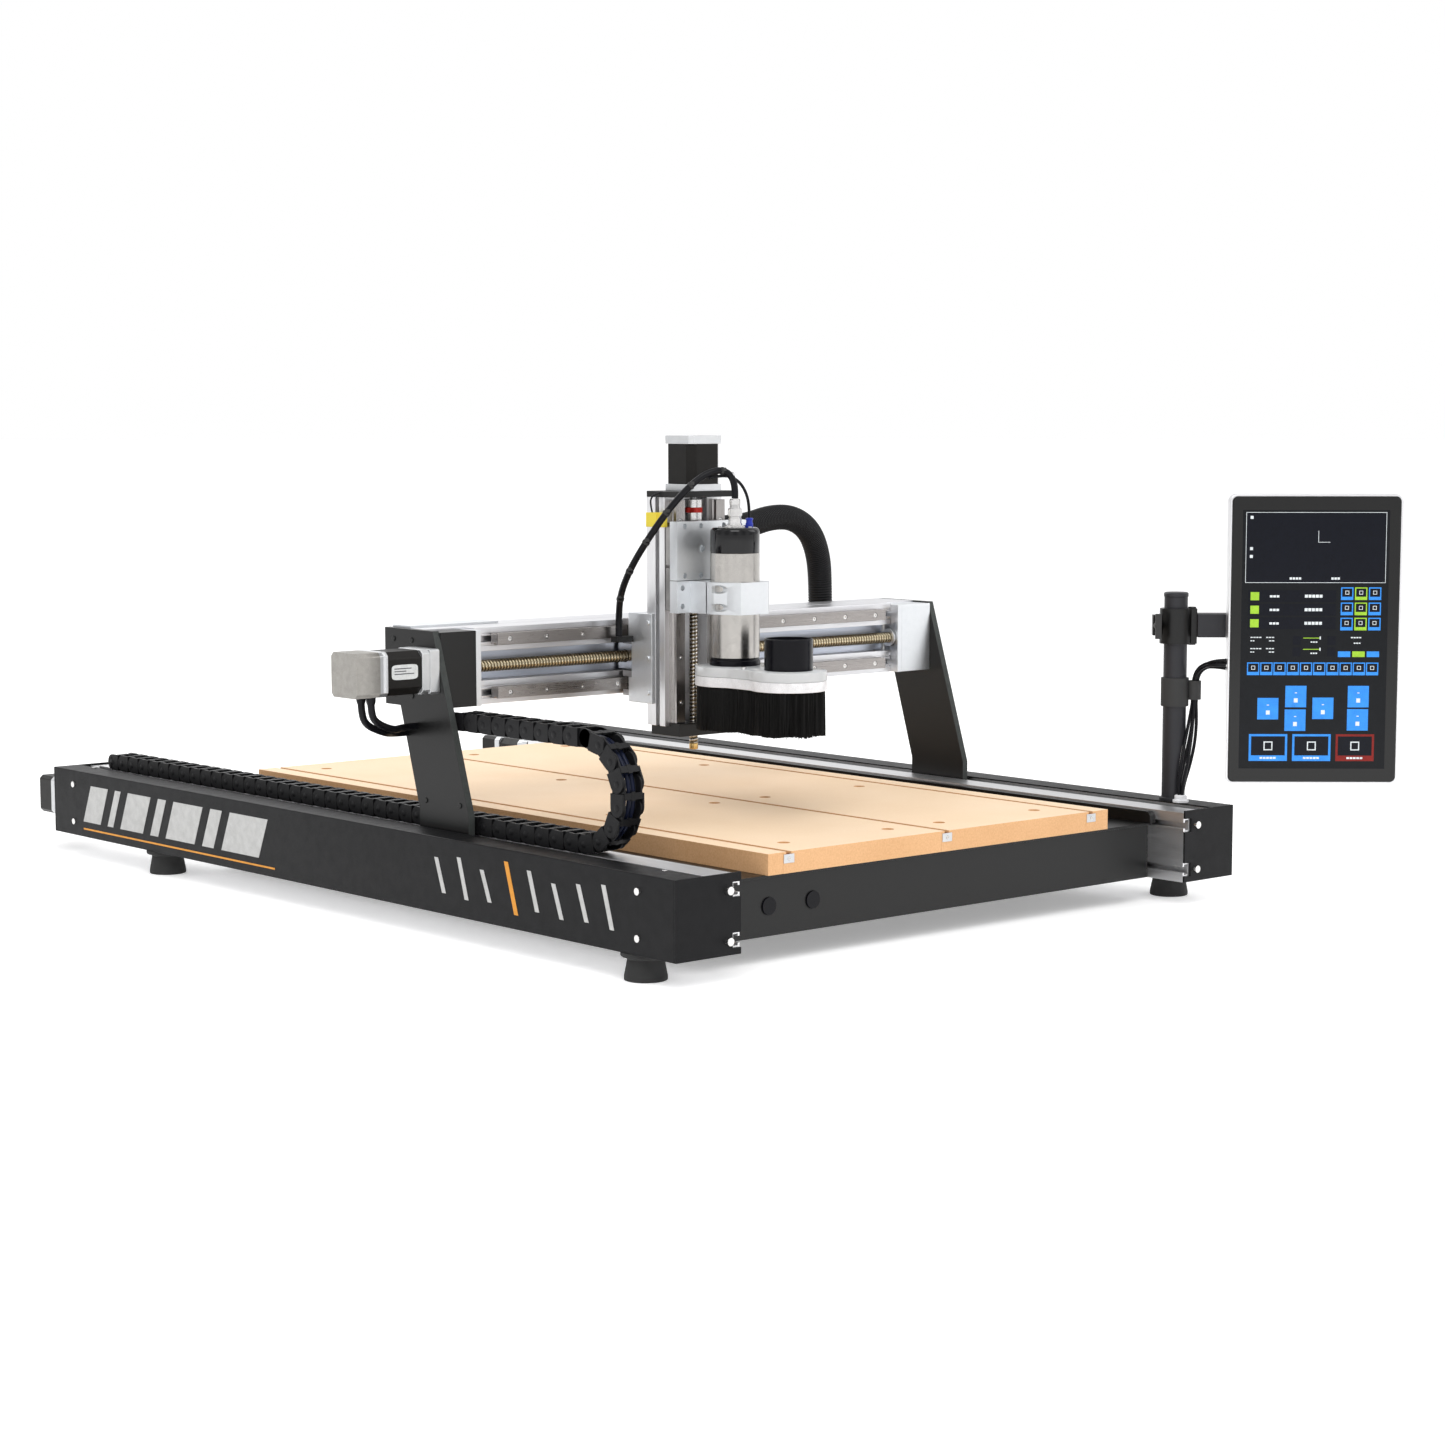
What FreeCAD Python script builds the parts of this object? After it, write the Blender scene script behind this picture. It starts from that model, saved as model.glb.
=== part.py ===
"""CNC router: gantry machine with a moving spindle, drive screws, cable chain and monitor.

Millimetres. X runs across the machine, Y from the front to the back, Z up.
Pieces are built with Y measured from the front end of the side rails and Z from the
floor; save() moves each one so that the origin is the centre of the four foot bolt
holes, at floor level.
"""
import FreeCAD, Part
import math
import os

V = FreeCAD.Vector

# ---- driving dimensions: base frame -------------------------------------------------
RAIL_LENGTH = 1451.0
FRAME_WIDTH = 992.0
RAIL_WIDTH = 100.0
RAIL_HEIGHT = 97.0
FOOT_HEIGHT = 34.0
FOOT_INSET = 28.0
FOOT_BOLT_R = 4.3
FOOT_FRONT_Y = 88.0
FOOT_SPACING_Y = 1084.0
RAIL_WALL = 14.0
SHEET = 2.0
CAP_SHEET = 3.0
STRIP_WIDTH = 41.0
SLOT_OUTER = 42.0
T_MOUTH = 8.0
T_HEAD = 14.0
BED_DROP = 24.6
BED_SHEET = 3.1
CROSSBAR_DEPTH = 40.0
CROSSBAR_Y = (65.0, 600.0, 1130.0)
BOARD_WIDTH = 608.0
BOARD_FRONT_Y = 56.0
BOARD_LENGTH = 1129.0
BOARD_THICKNESS = 26.5
TRACK_WIDTH = 19.0
TRACK_HEIGHT = 12.0
TRACK_PITCH = 270.5

# ---- driving dimensions: linear motion ----------------------------------------------
GUIDE = 15.0
GUIDE_PITCH = 60.0
BLOCK_HEIGHT = 24.0
BLOCK_WIDTH = 34.0
BLOCK_GAP = 4.3
SCREW_DIAMETER = 16.0
Z_SCREW_DIAMETER = 12.0
NUT_GAP = 0.3
RUNNING = 0.08
MOTOR_SIZE = 57.0
MOTOR_BODY = 52.0
MOTOR_FLANGE = 12.0
MOTOR_CAP = 36.0
MOTOR_PAD = 15.0
Y_GUIDE_INSET = 40.0
Y_SCREW_INSET = 72.0
Y_SCREW_Z = 75.0

# ---- driving dimensions: gantry -----------------------------------------------------
LEG_INSET = 55.0
LEG_THICKNESS = 10.0
LEG_TOP_Y = (534.0, 640.0)
LEG_FOOT_Y = (460.0, 566.0)
BEAM_BASE = 153.0
BEAM_HEIGHT = 100.0
BEAM_FRONT_Y = 545.0
BEAM_REAR_Y = 640.0
BEAM_OPEN = (-377.0, 375.0)
RECESS_HEIGHT = 38.0
RECESS_DEPTH = 21.0
X_GUIDE_LENGTH = 700.0
X_GUIDE_SPACING = 70.0
X_SCREW_Y = 547.0
BEARING_PLATE = 8.0

# ---- driving dimensions: carriage, column and spindle --------------------------------
CARRIAGE_X = -83.0
COLUMN_WIDTH = 100.0
COLUMN_DEPTH = 37.0
COLUMN_BASE = 115.0
COLUMN_HEIGHT = 304.0
CARRIAGE_PLATE = 25.7
CARRIAGE_HEIGHT = 120.0
CHEEK = 6.0
Z_GUIDE_SPACING = 70.0
Z_PLATE_THICKNESS = 15.0
Z_PLATE_WIDTH = 122.0
Z_PLATE_RANGE = (311.0, 388.0)
CLAMP_RANGE = (268.0, 310.0)
SPINDLE_DIAMETER = 65.0
SPINDLE_OUT = 60.0
SPINDLE_BASE = 210.0
SPINDLE_STEEL = 138.0
SPINDLE_CAP = 33.0
SHOE_TOP = 200.0
SHOE_PLATE = 13.0
SHOE_STRIP = 13.0
BRISTLE = 59.0
PORT_OUT = 105.0
PORT_DIAMETER = 63.0
PORT_WALL = 2.5
PORT_LENGTH = 41.0

# ---- driving dimensions: cable chain and monitor ------------------------------------
CHAIN_WIDTH = 34.0
CHAIN_HEIGHT = 24.0
CHAIN_RADIUS = 65.0
CHAIN_LOOP_LINKS = 7
CHAIN_LOOP_Y = 242.0
CHAIN_INSET = 75.0
LOWER_LINKS = 39
UPPER_LINKS = 9
POLE_INSET = 21.0
POLE_Y = 89.0
POLE_DIAMETER = 32.0
POLE_HEIGHT = 286.0
ARM_SIZE = 32.0
ARM_HEIGHT = 241.0
SCREEN_TURN = -42.5
SCREEN_WIDTH = 232.0
SCREEN_HEIGHT = 392.0
SCREEN_OUT = 180.0
SCREEN_FORWARD = 55.0
SCREEN_DEPTH = 25.0
SCREEN_CENTRE = 225.0
PIVOT_GAP = 0.3

# ---- driving dimensions: plugs, sensor, hose and cables ------------------------------
PLUG_X = (-295.0, -223.0)
PLUG_Z = 71.0
PLUG_R = 11.0
SENSOR_WIDTH = 14.0
SENSOR_STEP = 10.0
SENSOR_HEIGHT = 19.0
SENSOR_BASE = 380.0
LEAD_RADIUS = 4.6
HOSE_RADIUS = 18.0
CABLE_RADIUS = 4.5
HOSE_ROUTE = [(-72, 518, 450), (-72, 518, 470), (-52, 524, 493), (-8, 536, 502), (50, 550, 501),
              (112, 565, 503), (175, 586, 513), (236, 606, 511), (292, 630, 490), (330, 652, 452),
              (347, 666, 404), (347, 666, 350)]
CABLE_ROUTE = [(-83, 368, 549.8), (-80, 370, 572), (-94, 377, 588), (-118, 388, 582), (-140, 402, 560),
               (-158, 420, 530), (-170, 444, 494), (-176, 470, 458), (-172, 496, 424), (-158, 518, 394),
               (-158, 518, 364)]

# ---- sizes that follow ---------------------------------------------------------------
RAIL_TOP = FOOT_HEIGHT + RAIL_HEIGHT
Y_SCREW_END = RAIL_LENGTH - 42.0
OUTER = FRAME_WIDTH / 2
INNER = OUTER - RAIL_WIDTH
STRIP_TOP = RAIL_TOP - 3.0
STRIP_EDGE = INNER + STRIP_WIDTH
COVER_EDGE = OUTER - SLOT_OUTER
BED_TOP = RAIL_TOP - BED_DROP
BOARD_BASE = BED_TOP + BED_SHEET
BOARD_TOP = BOARD_BASE + BOARD_THICKNESS
FOOT_X = OUTER - FOOT_INSET
FOOT_MID_Y = FOOT_FRONT_Y + FOOT_SPACING_Y / 2
BLOCK_TOP = FOOT_HEIGHT + 8.0 + BLOCK_HEIGHT
Y_GUIDE_X = OUTER - Y_GUIDE_INSET
Y_SCREW_X = OUTER - Y_SCREW_INSET
LEG_INNER = OUTER - LEG_INSET
LEG_OUTER = LEG_INNER + LEG_THICKNESS
BEAM_Z = RAIL_TOP + BEAM_BASE
BEAM_TOP = BEAM_Z + BEAM_HEIGHT
BEAM_MID = BEAM_Z + BEAM_HEIGHT / 2
RECESS_BACK = BEAM_FRONT_Y + RECESS_DEPTH
GUIDE_FRONT = BEAM_FRONT_Y - GUIDE
PLATE_REAR = BEAM_FRONT_Y - BLOCK_HEIGHT
PLATE_FACE = PLATE_REAR - 6.3
COLUMN_REAR = PLATE_FACE - CARRIAGE_PLATE
COLUMN_FRONT = COLUMN_REAR - COLUMN_DEPTH
COLUMN_Z = RAIL_TOP + COLUMN_BASE
COLUMN_TOP = COLUMN_Z + COLUMN_HEIGHT
Z_GUIDE_FACE = COLUMN_FRONT - GUIDE
Z_PLATE_REAR = COLUMN_FRONT - BLOCK_HEIGHT
Z_PLATE_FACE = Z_PLATE_REAR - Z_PLATE_THICKNESS
SPINDLE_Y = Z_PLATE_REAR - SPINDLE_OUT
SPINDLE_R = SPINDLE_DIAMETER / 2
PORT_Y = SPINDLE_Y - PORT_OUT
SHOE_Z = RAIL_TOP + SHOE_TOP
POLE_R = POLE_DIAMETER / 2
POLE_X = OUTER - POLE_INSET
CHAIN_X = CHAIN_INSET - OUTER
ARM_Z = RAIL_TOP + ARM_HEIGHT
SCREEN_Z = RAIL_TOP + SCREEN_CENTRE
CHAIN_AXIS_Z = STRIP_TOP + CHAIN_HEIGHT / 2 + CHAIN_RADIUS
CHAIN_PITCH = math.pi * CHAIN_RADIUS / CHAIN_LOOP_LINKS


# ---- shape helpers ------------------------------------------------------------------
def box(x0, x1, y0, y1, z0, z1):
    """Box between two corners."""
    return Part.makeBox(x1 - x0, y1 - y0, z1 - z0, V(x0, y0, z0))


def rod(axis, point, radius, length):
    """Cylinder from a point along the X, Y or Z axis."""
    direction = {"x": V(1, 0, 0), "y": V(0, 1, 0), "z": V(0, 0, 1)}[axis]
    return Part.makeCylinder(radius, length, V(*point), direction)


def prism(points, vector):
    """Closed polygon of 3-D points pushed along a vector."""
    loop = [V(*p) for p in points] + [V(*points[0])]
    return Part.Face(Part.makePolygon(loop)).extrude(V(*vector))


def fuse(shapes):
    """One solid from several that touch."""
    result = shapes[0]
    for shape in shapes[1:]:
        result = result.fuse(shape)
    return result.removeSplitter()


def cut(shape, tools):
    """Shape less every tool."""
    for tool in tools:
        shape = shape.cut(tool)
    return shape


def mirrored(shape):
    """Copy on the other side of the machine."""
    return shape.mirror(V(0, 0, 0), V(1, 0, 0))


def both(shape):
    """A shape and its copy on the other side."""
    return [shape, mirrored(shape)]


def corner_cut_prism(cx, cy, size, chamfer, z0, height):
    """Square prism with its upright corners cut off."""
    h = size / 2
    c = h - chamfer
    outline = [(c, -h), (h, -c), (h, c), (c, h), (-c, h), (-h, c), (-h, -c), (-c, -h)]
    return prism([(cx + x, cy + y, z0) for x, y in outline], (0, 0, height))


def turned(shape, axis, angle, point):
    """Copy turned about an axis through a point."""
    copy = shape.copy()
    copy.rotate(V(*point), V(*axis), angle)
    return copy


def bent_tube(points, radius):
    """Tube of straight runs joined by tangent arcs, each as large as its runs allow."""
    knots = [V(*p) for p in points]
    edges = []
    start = knots[0]
    for before, corner, after in zip(knots, knots[1:], knots[2:]):
        run_in = corner - before
        run_out = after - corner
        turn = run_in.getAngle(run_out)
        reach = 0.45 * min(run_in.Length, run_out.Length)
        run_in.normalize()
        run_out.normalize()
        enter = corner - run_in * reach
        leave = corner + run_out * reach
        bend = reach / math.tan(turn / 2)
        inward = run_out - run_in
        inward.normalize()
        centre = corner + inward * math.hypot(reach, bend)
        towards = corner - centre
        towards.normalize()
        edges.append(Part.LineSegment(start, enter).toShape())
        edges.append(Part.Arc(enter, centre + towards * bend, leave).toShape())
        start = leave
        print("bend radius", round(bend, 1))
    edges.append(Part.LineSegment(start, knots[-1]).toShape())
    path = Part.Wire(edges)
    first = knots[1] - knots[0]
    section = Part.Wire([Part.makeCircle(radius, knots[0], first)])
    return path.makePipeShell([section], True, False)


def save(name, shapes):
    """Move the solids into the row frame and write them as one node."""
    solids = []
    for shape in shapes:
        solids.extend(shape.Solids)
    node = Part.makeCompound(solids) if len(solids) > 1 else solids[0]
    node = node.copy()
    node.translate(V(0, -FOOT_MID_Y, 0))
    node.exportStep("parts/" + name + ".step")


# ---- repeated machine elements ------------------------------------------------------
def guide_along_y(x, y0, y1, z):
    """Profile guide rail lying on a floor at height z, running along Y."""
    h = GUIDE / 2
    w = h - 2.0
    outline = [(-h, 0), (h, 0), (h, 6), (w, 8), (w, 10), (h, 11.5), (h, GUIDE)]
    outline += [(-h, GUIDE), (-h, 11.5), (-w, 10), (-w, 8), (-h, 6)]
    rail = prism([(x + a, y0, z + b) for a, b in outline], (0, y1 - y0, 0))
    count = int((y1 - y0 - 20) // GUIDE_PITCH) + 1
    first = (y0 + y1 - (count - 1) * GUIDE_PITCH) / 2
    holes = [rod("z", (x, first + i * GUIDE_PITCH, z + GUIDE - 5.3), 3.75, 6) for i in range(count)]
    return cut(rail, holes)


def motor_along_z(x, y, face, chamfer=5.0):
    """Flange, body and encoder cap of a motor standing on a face."""
    flange = corner_cut_prism(x, y, MOTOR_SIZE, chamfer, face, 9.0)
    body = corner_cut_prism(x, y, MOTOR_SIZE - 1.0, chamfer + 4.5, face + 9.0, 53.0)
    cap = corner_cut_prism(x, y, MOTOR_SIZE, chamfer, face + 62.0, 11.0)
    shaft = rod("z", (x, y, face - 20.0), 4.0, 20.0)
    return [fuse([flange, shaft]), body, cap]


def motor_lying(face):
    """Closed-loop motor along +Z from a face at the origin: pad, flange, body, plate, cap."""
    size = MOTOR_SIZE
    pad = corner_cut_prism(0, 0, size, 2.0, face, MOTOR_PAD)
    pad = cut(pad, [rod("z", (0, 0, face), 19.05, MOTOR_PAD)])
    z = face + MOTOR_PAD
    flange = corner_cut_prism(0, 0, size, 5.0, z, MOTOR_FLANGE)
    shaft = rod("z", (0, 0, z - MOTOR_PAD - 30.0), 4.0, MOTOR_PAD + 30.0)
    z += MOTOR_FLANGE
    body = corner_cut_prism(0, 0, size - 1.0, 9.5, z, MOTOR_BODY)
    z += MOTOR_BODY
    plate = corner_cut_prism(0, 0, size, 5.0, z, MOTOR_FLANGE)
    z += MOTOR_FLANGE
    cap = corner_cut_prism(0, 0, size, 5.0, z, MOTOR_CAP)
    return [pad, fuse([flange, shaft]), body, plate, cap]


def screw_bearing_y(y, thickness):
    """Bearing block that carries a drive screw inside a side rail."""
    low = FOOT_HEIGHT + 8.0
    block = box(Y_SCREW_X - 11, Y_SCREW_X + 13, y, y + thickness, low, Y_SCREW_Z + 16)
    return cut(block, [rod("y", (Y_SCREW_X, y, Y_SCREW_Z), SCREW_DIAMETER / 2 + RUNNING, thickness)])


# ---- base frame ---------------------------------------------------------------------
def t_slot_along_y(x, z, y0, y1):
    """Slot open towards the machine's middle, for the right-hand rail."""
    mouth = box(x - 1, x + 4, y0, y1, z - T_MOUTH / 2, z + T_MOUTH / 2)
    head = box(x + 3, x + RAIL_WALL - 4, y0, y1, z - T_HEAD / 2, z + T_HEAD / 2)
    return mouth.fuse(head)


def rail_extrusion():
    """Right side rail: a C section whose top slot lets the leg through."""
    y0 = CAP_SHEET
    y1 = RAIL_LENGTH - CAP_SHEET
    skin = OUTER - SHEET
    floor = box(INNER, skin, y0, y1, FOOT_HEIGHT, FOOT_HEIGHT + 8)
    wall = box(INNER, INNER + RAIL_WALL, y0, y1, FOOT_HEIGHT, STRIP_TOP)
    strip = box(INNER, STRIP_EDGE, y0, y1, STRIP_TOP - 10, STRIP_TOP)
    back = box(skin - 6, skin, y0, y1, FOOT_HEIGHT, RAIL_TOP - SHEET)
    shelf = box(COVER_EDGE + SHEET, skin, y0, y1, RAIL_TOP - SHEET - 8, RAIL_TOP - SHEET)
    section = fuse([floor, wall, strip, back, shelf])
    slots = [t_slot_along_y(INNER, z, y0, y1) for z in slot_heights()]
    foot_holes = [rod("z", (FOOT_X, y, FOOT_HEIGHT), FOOT_BOLT_R, 8.0) for y in foot_rows()]
    return cut(section, slots + foot_holes)


def slot_heights():
    """Centre heights of the two T-slots in a side rail."""
    return (FOOT_HEIGHT + 17.0, RAIL_TOP - 20.0)


def foot_rows():
    """Y of the front and rear feet."""
    return (FOOT_FRONT_Y, FOOT_FRONT_Y + FOOT_SPACING_Y)


def rail_covers():
    """Folded sheet over the outer side and the outer top edge of each rail."""
    y0 = CAP_SHEET
    y1 = RAIL_LENGTH - CAP_SHEET
    side = box(OUTER - SHEET, OUTER, y0, y1, FOOT_HEIGHT, RAIL_TOP)
    top = box(COVER_EDGE, OUTER, y0, y1, RAIL_TOP - SHEET, RAIL_TOP)
    sheet = fuse([side, top])
    edge = [e for e in sheet.Edges if is_outer_top(e)]
    sheet = sheet.makeFillet(1.6, edge)
    return both(sheet)


def is_outer_top(edge):
    """True for the long outer top edge of a rail cover."""
    low = edge.BoundBox
    flat = low.XLength < 0.1 and low.ZLength < 0.1
    return flat and abs(low.XMin - OUTER) < 0.1 and abs(low.ZMin - RAIL_TOP) < 0.1


def end_caps():
    """Folded end plates, notched at the inner edge where the T-slots come through."""
    caps = []
    for y in (0.0, RAIL_LENGTH - CAP_SHEET):
        plate = box(INNER, OUTER, y, y + CAP_SHEET, FOOT_HEIGHT, RAIL_TOP)
        notches = [box(INNER - 1, INNER + 13, y, y + CAP_SHEET, z - 9, z + 9) for z in slot_heights()]
        shaft = rod("y", (Y_SCREW_X, y, Y_SCREW_Z), 20.0, CAP_SHEET)
        tools = notches + ([shaft] if y > 0 else [])
        caps += both(cut(plate, tools))
    return caps


def crossbars():
    """Hollow bars that join the rails under the bed."""
    bars = []
    height = BED_TOP - FOOT_HEIGHT
    for y in CROSSBAR_Y:
        bar = box(-INNER, INNER, y, y + CROSSBAR_DEPTH, FOOT_HEIGHT, BED_TOP)
        hollow = box(-INNER, INNER, y + 5, y + CROSSBAR_DEPTH - 5, FOOT_HEIGHT + 5, BED_TOP - 5)
        web = box(-INNER, INNER, y, y + CROSSBAR_DEPTH, FOOT_HEIGHT + height / 2 - 2.5,
                  FOOT_HEIGHT + height / 2 + 2.5)
        bars.append(cut(bar, [hollow]).fuse(web).removeSplitter())
    bars[0] = cut(bars[0], [rod("y", (x, CROSSBAR_Y[0], PLUG_Z), PLUG_R, 5) for x in PLUG_X])
    return bars


def frame_screws():
    """Cap screws, cover screws and the two round plugs in the front bar."""
    parts = []
    low, high = slot_heights()
    for x, y, z in ((21, -6.0, low), (21, -6.0, high), (75, RAIL_LENGTH, low), (21, RAIL_LENGTH, high)):
        parts += both(rod("y", (INNER + x, y, z), 5.0, 6.0))
    for y in (68.0, 1391.0):
        for z in (RAIL_TOP - 21.0, RAIL_TOP - 76.5):
            parts += both(rod("x", (OUTER, y, z), 4.5, 2.5))
    parts += both(rod("z", (COVER_EDGE + 8, RAIL_LENGTH - 60, RAIL_TOP), 3.5, 1.5))
    parts.append(rod("z", (-COVER_EDGE - 8, 60, RAIL_TOP), 3.5, 1.5))
    parts += [rod("y", (x, CROSSBAR_Y[0] - 2, PLUG_Z), PLUG_R, 7) for x in PLUG_X]
    return parts


def bed_side_plates():
    """Black strips along the rails above the bed sheet, rounded at the front."""
    y0 = BOARD_FRONT_Y - 4
    y1 = BOARD_FRONT_Y + BOARD_LENGTH + 5
    plate = box(INNER - 11, INNER, y0, y1, BOARD_BASE, STRIP_TOP - 2)
    edges = [e for e in plate.Edges if e.BoundBox.YMax < y0 + 0.1 and e.BoundBox.ZMin > STRIP_TOP - 3]
    plate = plate.makeFillet(9.0, edges)
    return both(plate)


def bed_sheet():
    """Sheet under the board, across the bars."""
    y0 = CROSSBAR_Y[0] - 5
    y1 = CROSSBAR_Y[2] + CROSSBAR_DEPTH + 20
    return [box(-INNER, INNER, y0, y1, BED_TOP, BOARD_BASE)]


def track_lines():
    """X of the three clamping tracks."""
    return (-TRACK_PITCH, 0.0, TRACK_PITCH)


def spoilboard():
    """Two planks and two edge strips, with counterbored fixing holes."""
    y0 = BOARD_FRONT_Y
    y1 = y0 + BOARD_LENGTH
    whole = box(-BOARD_WIDTH / 2, BOARD_WIDTH / 2, y0, y1, BOARD_BASE, BOARD_TOP)
    grooves = [box(x - TRACK_WIDTH / 2, x + TRACK_WIDTH / 2, y0, y1, BOARD_BASE, BOARD_TOP)
               for x in track_lines()]
    holes = []
    for x in (-0.83, -0.17, 0.17, 0.83):
        for row in range(4):
            y = y0 + 60 + row * (BOARD_LENGTH - 120) / 3
            holes.append(rod("z", (x * TRACK_PITCH, y, BOARD_TOP - 9), 8.0, 9))
    return [cut(whole, grooves + holes)]


def t_tracks():
    """Aluminium clamping tracks, level with the board."""
    y0 = BOARD_FRONT_Y
    tracks = []
    for x in track_lines():
        h = TRACK_WIDTH / 2
        body = box(x - h, x + h, y0, y0 + BOARD_LENGTH, BOARD_BASE, BOARD_TOP)
        mouth = box(x - 4, x + 4, y0, y0 + BOARD_LENGTH, BOARD_TOP - 4, BOARD_TOP)
        head = box(x - 7, x + 7, y0, y0 + BOARD_LENGTH, BOARD_TOP - TRACK_HEIGHT + 2, BOARD_TOP - 3)
        hollow = box(x - h + 3, x + h - 3, y0, y0 + BOARD_LENGTH, BOARD_BASE + 2.5,
                     BOARD_TOP - TRACK_HEIGHT - 1)
        tracks.append(cut(body, [mouth, head, hollow]))
    return tracks


def feet():
    """Rubber feet with a flange under each rail and a bolt hole right through."""
    profile = [(0, 0), (26, 0), (26, 5), (22, 26), (30, 29), (30, FOOT_HEIGHT), (0, FOOT_HEIGHT)]
    result = []
    for y in foot_rows():
        face = Part.Face(Part.makePolygon([V(FOOT_X + r, y, z) for r, z in profile + [profile[0]]]))
        foot = face.revolve(V(FOOT_X, y, 0), V(0, 0, 1), 360)
        result += both(foot.cut(rod("z", (FOOT_X, y, 0), FOOT_BOLT_R, FOOT_HEIGHT)))
    return result


def y_linear_rails():
    """Guide rails on the floor of each side rail."""
    return both(guide_along_y(Y_GUIDE_X, 22, RAIL_LENGTH - 22, FOOT_HEIGHT + 8))


def y_screw_bearings():
    """Bearing blocks at both ends of each Y screw."""
    blocks = []
    for y in (20.0, Y_SCREW_END - 33.0):
        blocks += both(screw_bearing_y(y, 25.0))
    return blocks


def y_motors():
    """Motors behind the rails, in line with the screws."""
    motors = []
    for part in motor_lying(0):
        lying = turned(part, (1, 0, 0), -90, (0, 0, 0))
        lying.translate(V(Y_SCREW_X, RAIL_LENGTH, Y_SCREW_Z))
        motors += both(lying)
    return motors


# ---- gantry -------------------------------------------------------------------------
def leg(side):
    """Side plate: upright at the foot, leaning back, with a stepped rear edge."""
    front_top, rear_top = LEG_TOP_Y
    front_foot, rear_foot = LEG_FOOT_Y
    step = BEAM_Z
    outline = [(front_top, BEAM_TOP), (front_foot, RAIL_TOP + 22), (front_foot, BLOCK_TOP + 10)]
    outline += [(rear_foot, BLOCK_TOP + 10), (rear_foot, RAIL_TOP + 20), (rear_top - 33, step)]
    outline += [(rear_top, step), (rear_top, BEAM_TOP)]
    plate = prism([(LEG_INNER, y, z) for y, z in outline], (LEG_THICKNESS, 0, 0))
    shoe = box(LEG_INNER, Y_GUIDE_X + BLOCK_WIDTH / 2, front_foot - 12, rear_foot + 12,
               BLOCK_TOP, BLOCK_TOP + 10)
    whole = fuse([plate, shoe])
    if side < 0:
        whole = mirrored(whole)
        drive = rod("x", (-LEG_OUTER, X_SCREW_Y, BEAM_MID), 19.05, LEG_THICKNESS)
        whole = whole.cut(drive)
    heads = []
    for y, z in leg_screw_places():
        x = side * LEG_OUTER
        start = x if side > 0 else x - 1.5
        heads.append(rod("x", (start, y, z), 3.5, 1.5))
    return [whole] + heads


def leg_screw_places():
    """Y and Z of the screws that hold a leg to the beam and the nut."""
    rows = [(580, BEAM_TOP - 14), (620, BEAM_TOP - 14), (580, BEAM_Z + 14), (620, BEAM_Z + 14)]
    return rows + [(478, RAIL_TOP + 34), (552, RAIL_TOP + 34)]


def y_bearing_blocks():
    """Guide blocks under each leg, and the screw nut in its housing."""
    low = FOOT_HEIGHT + 8
    front_foot, rear_foot = LEG_FOOT_Y
    blocks = []
    for y in (front_foot - 10, rear_foot - 48):
        block = box(Y_GUIDE_X - BLOCK_WIDTH / 2, Y_GUIDE_X + BLOCK_WIDTH / 2, y, y + 58,
                    low + BLOCK_GAP, BLOCK_TOP)
        channel = box(Y_GUIDE_X - 8.5, Y_GUIDE_X + 8.5, y, y + 58, low, low + GUIDE + 1)
        blocks += both(block.cut(channel))
    nut = box(Y_SCREW_X - 13.5, LEG_INNER, 490, 536, BLOCK_TOP + 10.5, Y_SCREW_Z + 22)
    lug = box(Y_SCREW_X - 13.5, Y_SCREW_X + 14.5, 490, 536, Y_SCREW_Z - 15, BLOCK_TOP + 11)
    bore = rod("y", (Y_SCREW_X, 490, Y_SCREW_Z), SCREW_DIAMETER / 2 + NUT_GAP, 46)
    return blocks + both(cut(fuse([nut, lug]), [bore]))


def beam_extrusion():
    """Hollow beam: a full-width rear half and a shorter grooved front half."""
    x0, x1 = BEAM_OPEN
    rear = box(-LEG_INNER, LEG_INNER, RECESS_BACK, BEAM_REAR_Y, BEAM_Z, BEAM_TOP)
    front = box(x0, x1, BEAM_FRONT_Y, RECESS_BACK, BEAM_Z, BEAM_TOP)
    beam = fuse([rear, front])
    half = RECESS_HEIGHT / 2
    tools = [box(x0, x1, BEAM_FRONT_Y, RECESS_BACK, BEAM_MID - half, BEAM_MID + half)]
    for z in guide_heights():
        tools.append(box(x0, x1, BEAM_FRONT_Y, BEAM_FRONT_Y + 9, z - 4, z + 4))
    for z in (BEAM_TOP - 8.5, BEAM_Z + 8.5, BEAM_MID + half + 8, BEAM_MID - half - 8):
        tools.append(box(x0, x1, BEAM_FRONT_Y, BEAM_FRONT_Y + 2, z - 1, z + 1))
    for z in (BEAM_TOP, BEAM_Z):
        tools.append(box(-LEG_INNER, LEG_INNER, 588.5, 591.5, z - 2.5, z + 2.5))
    for z in guide_heights():
        tools.append(box(-LEG_INNER, LEG_INNER, BEAM_REAR_Y - 5, BEAM_REAR_Y, z - 4, z + 4))
        tools.append(box(-LEG_INNER, LEG_INNER, BEAM_REAR_Y - 12, BEAM_REAR_Y - 4, z - 7, z + 7))
    for z0 in (BEAM_Z + 6, BEAM_MID + 3):
        tools.append(box(-LEG_INNER, LEG_INNER, RECESS_BACK + 6, BEAM_REAR_Y - 18, z0, z0 + 41))
    return [cut(beam, tools)]


def guide_heights():
    """Z of the two guide rails on the beam."""
    return (BEAM_MID - X_GUIDE_SPACING / 2, BEAM_MID + X_GUIDE_SPACING / 2)


def end_cover(x0, x1):
    """Folded black cover over one end of the X screw."""
    z0 = BEAM_Z
    z1 = BEAM_TOP - 2
    outer = box(x0, x1, GUIDE_FRONT, RECESS_BACK, z0, z1)
    inner = box(x0, x1, GUIDE_FRONT + SHEET, RECESS_BACK, z0 + SHEET, z1 - SHEET)
    return outer.cut(inner)


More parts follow.
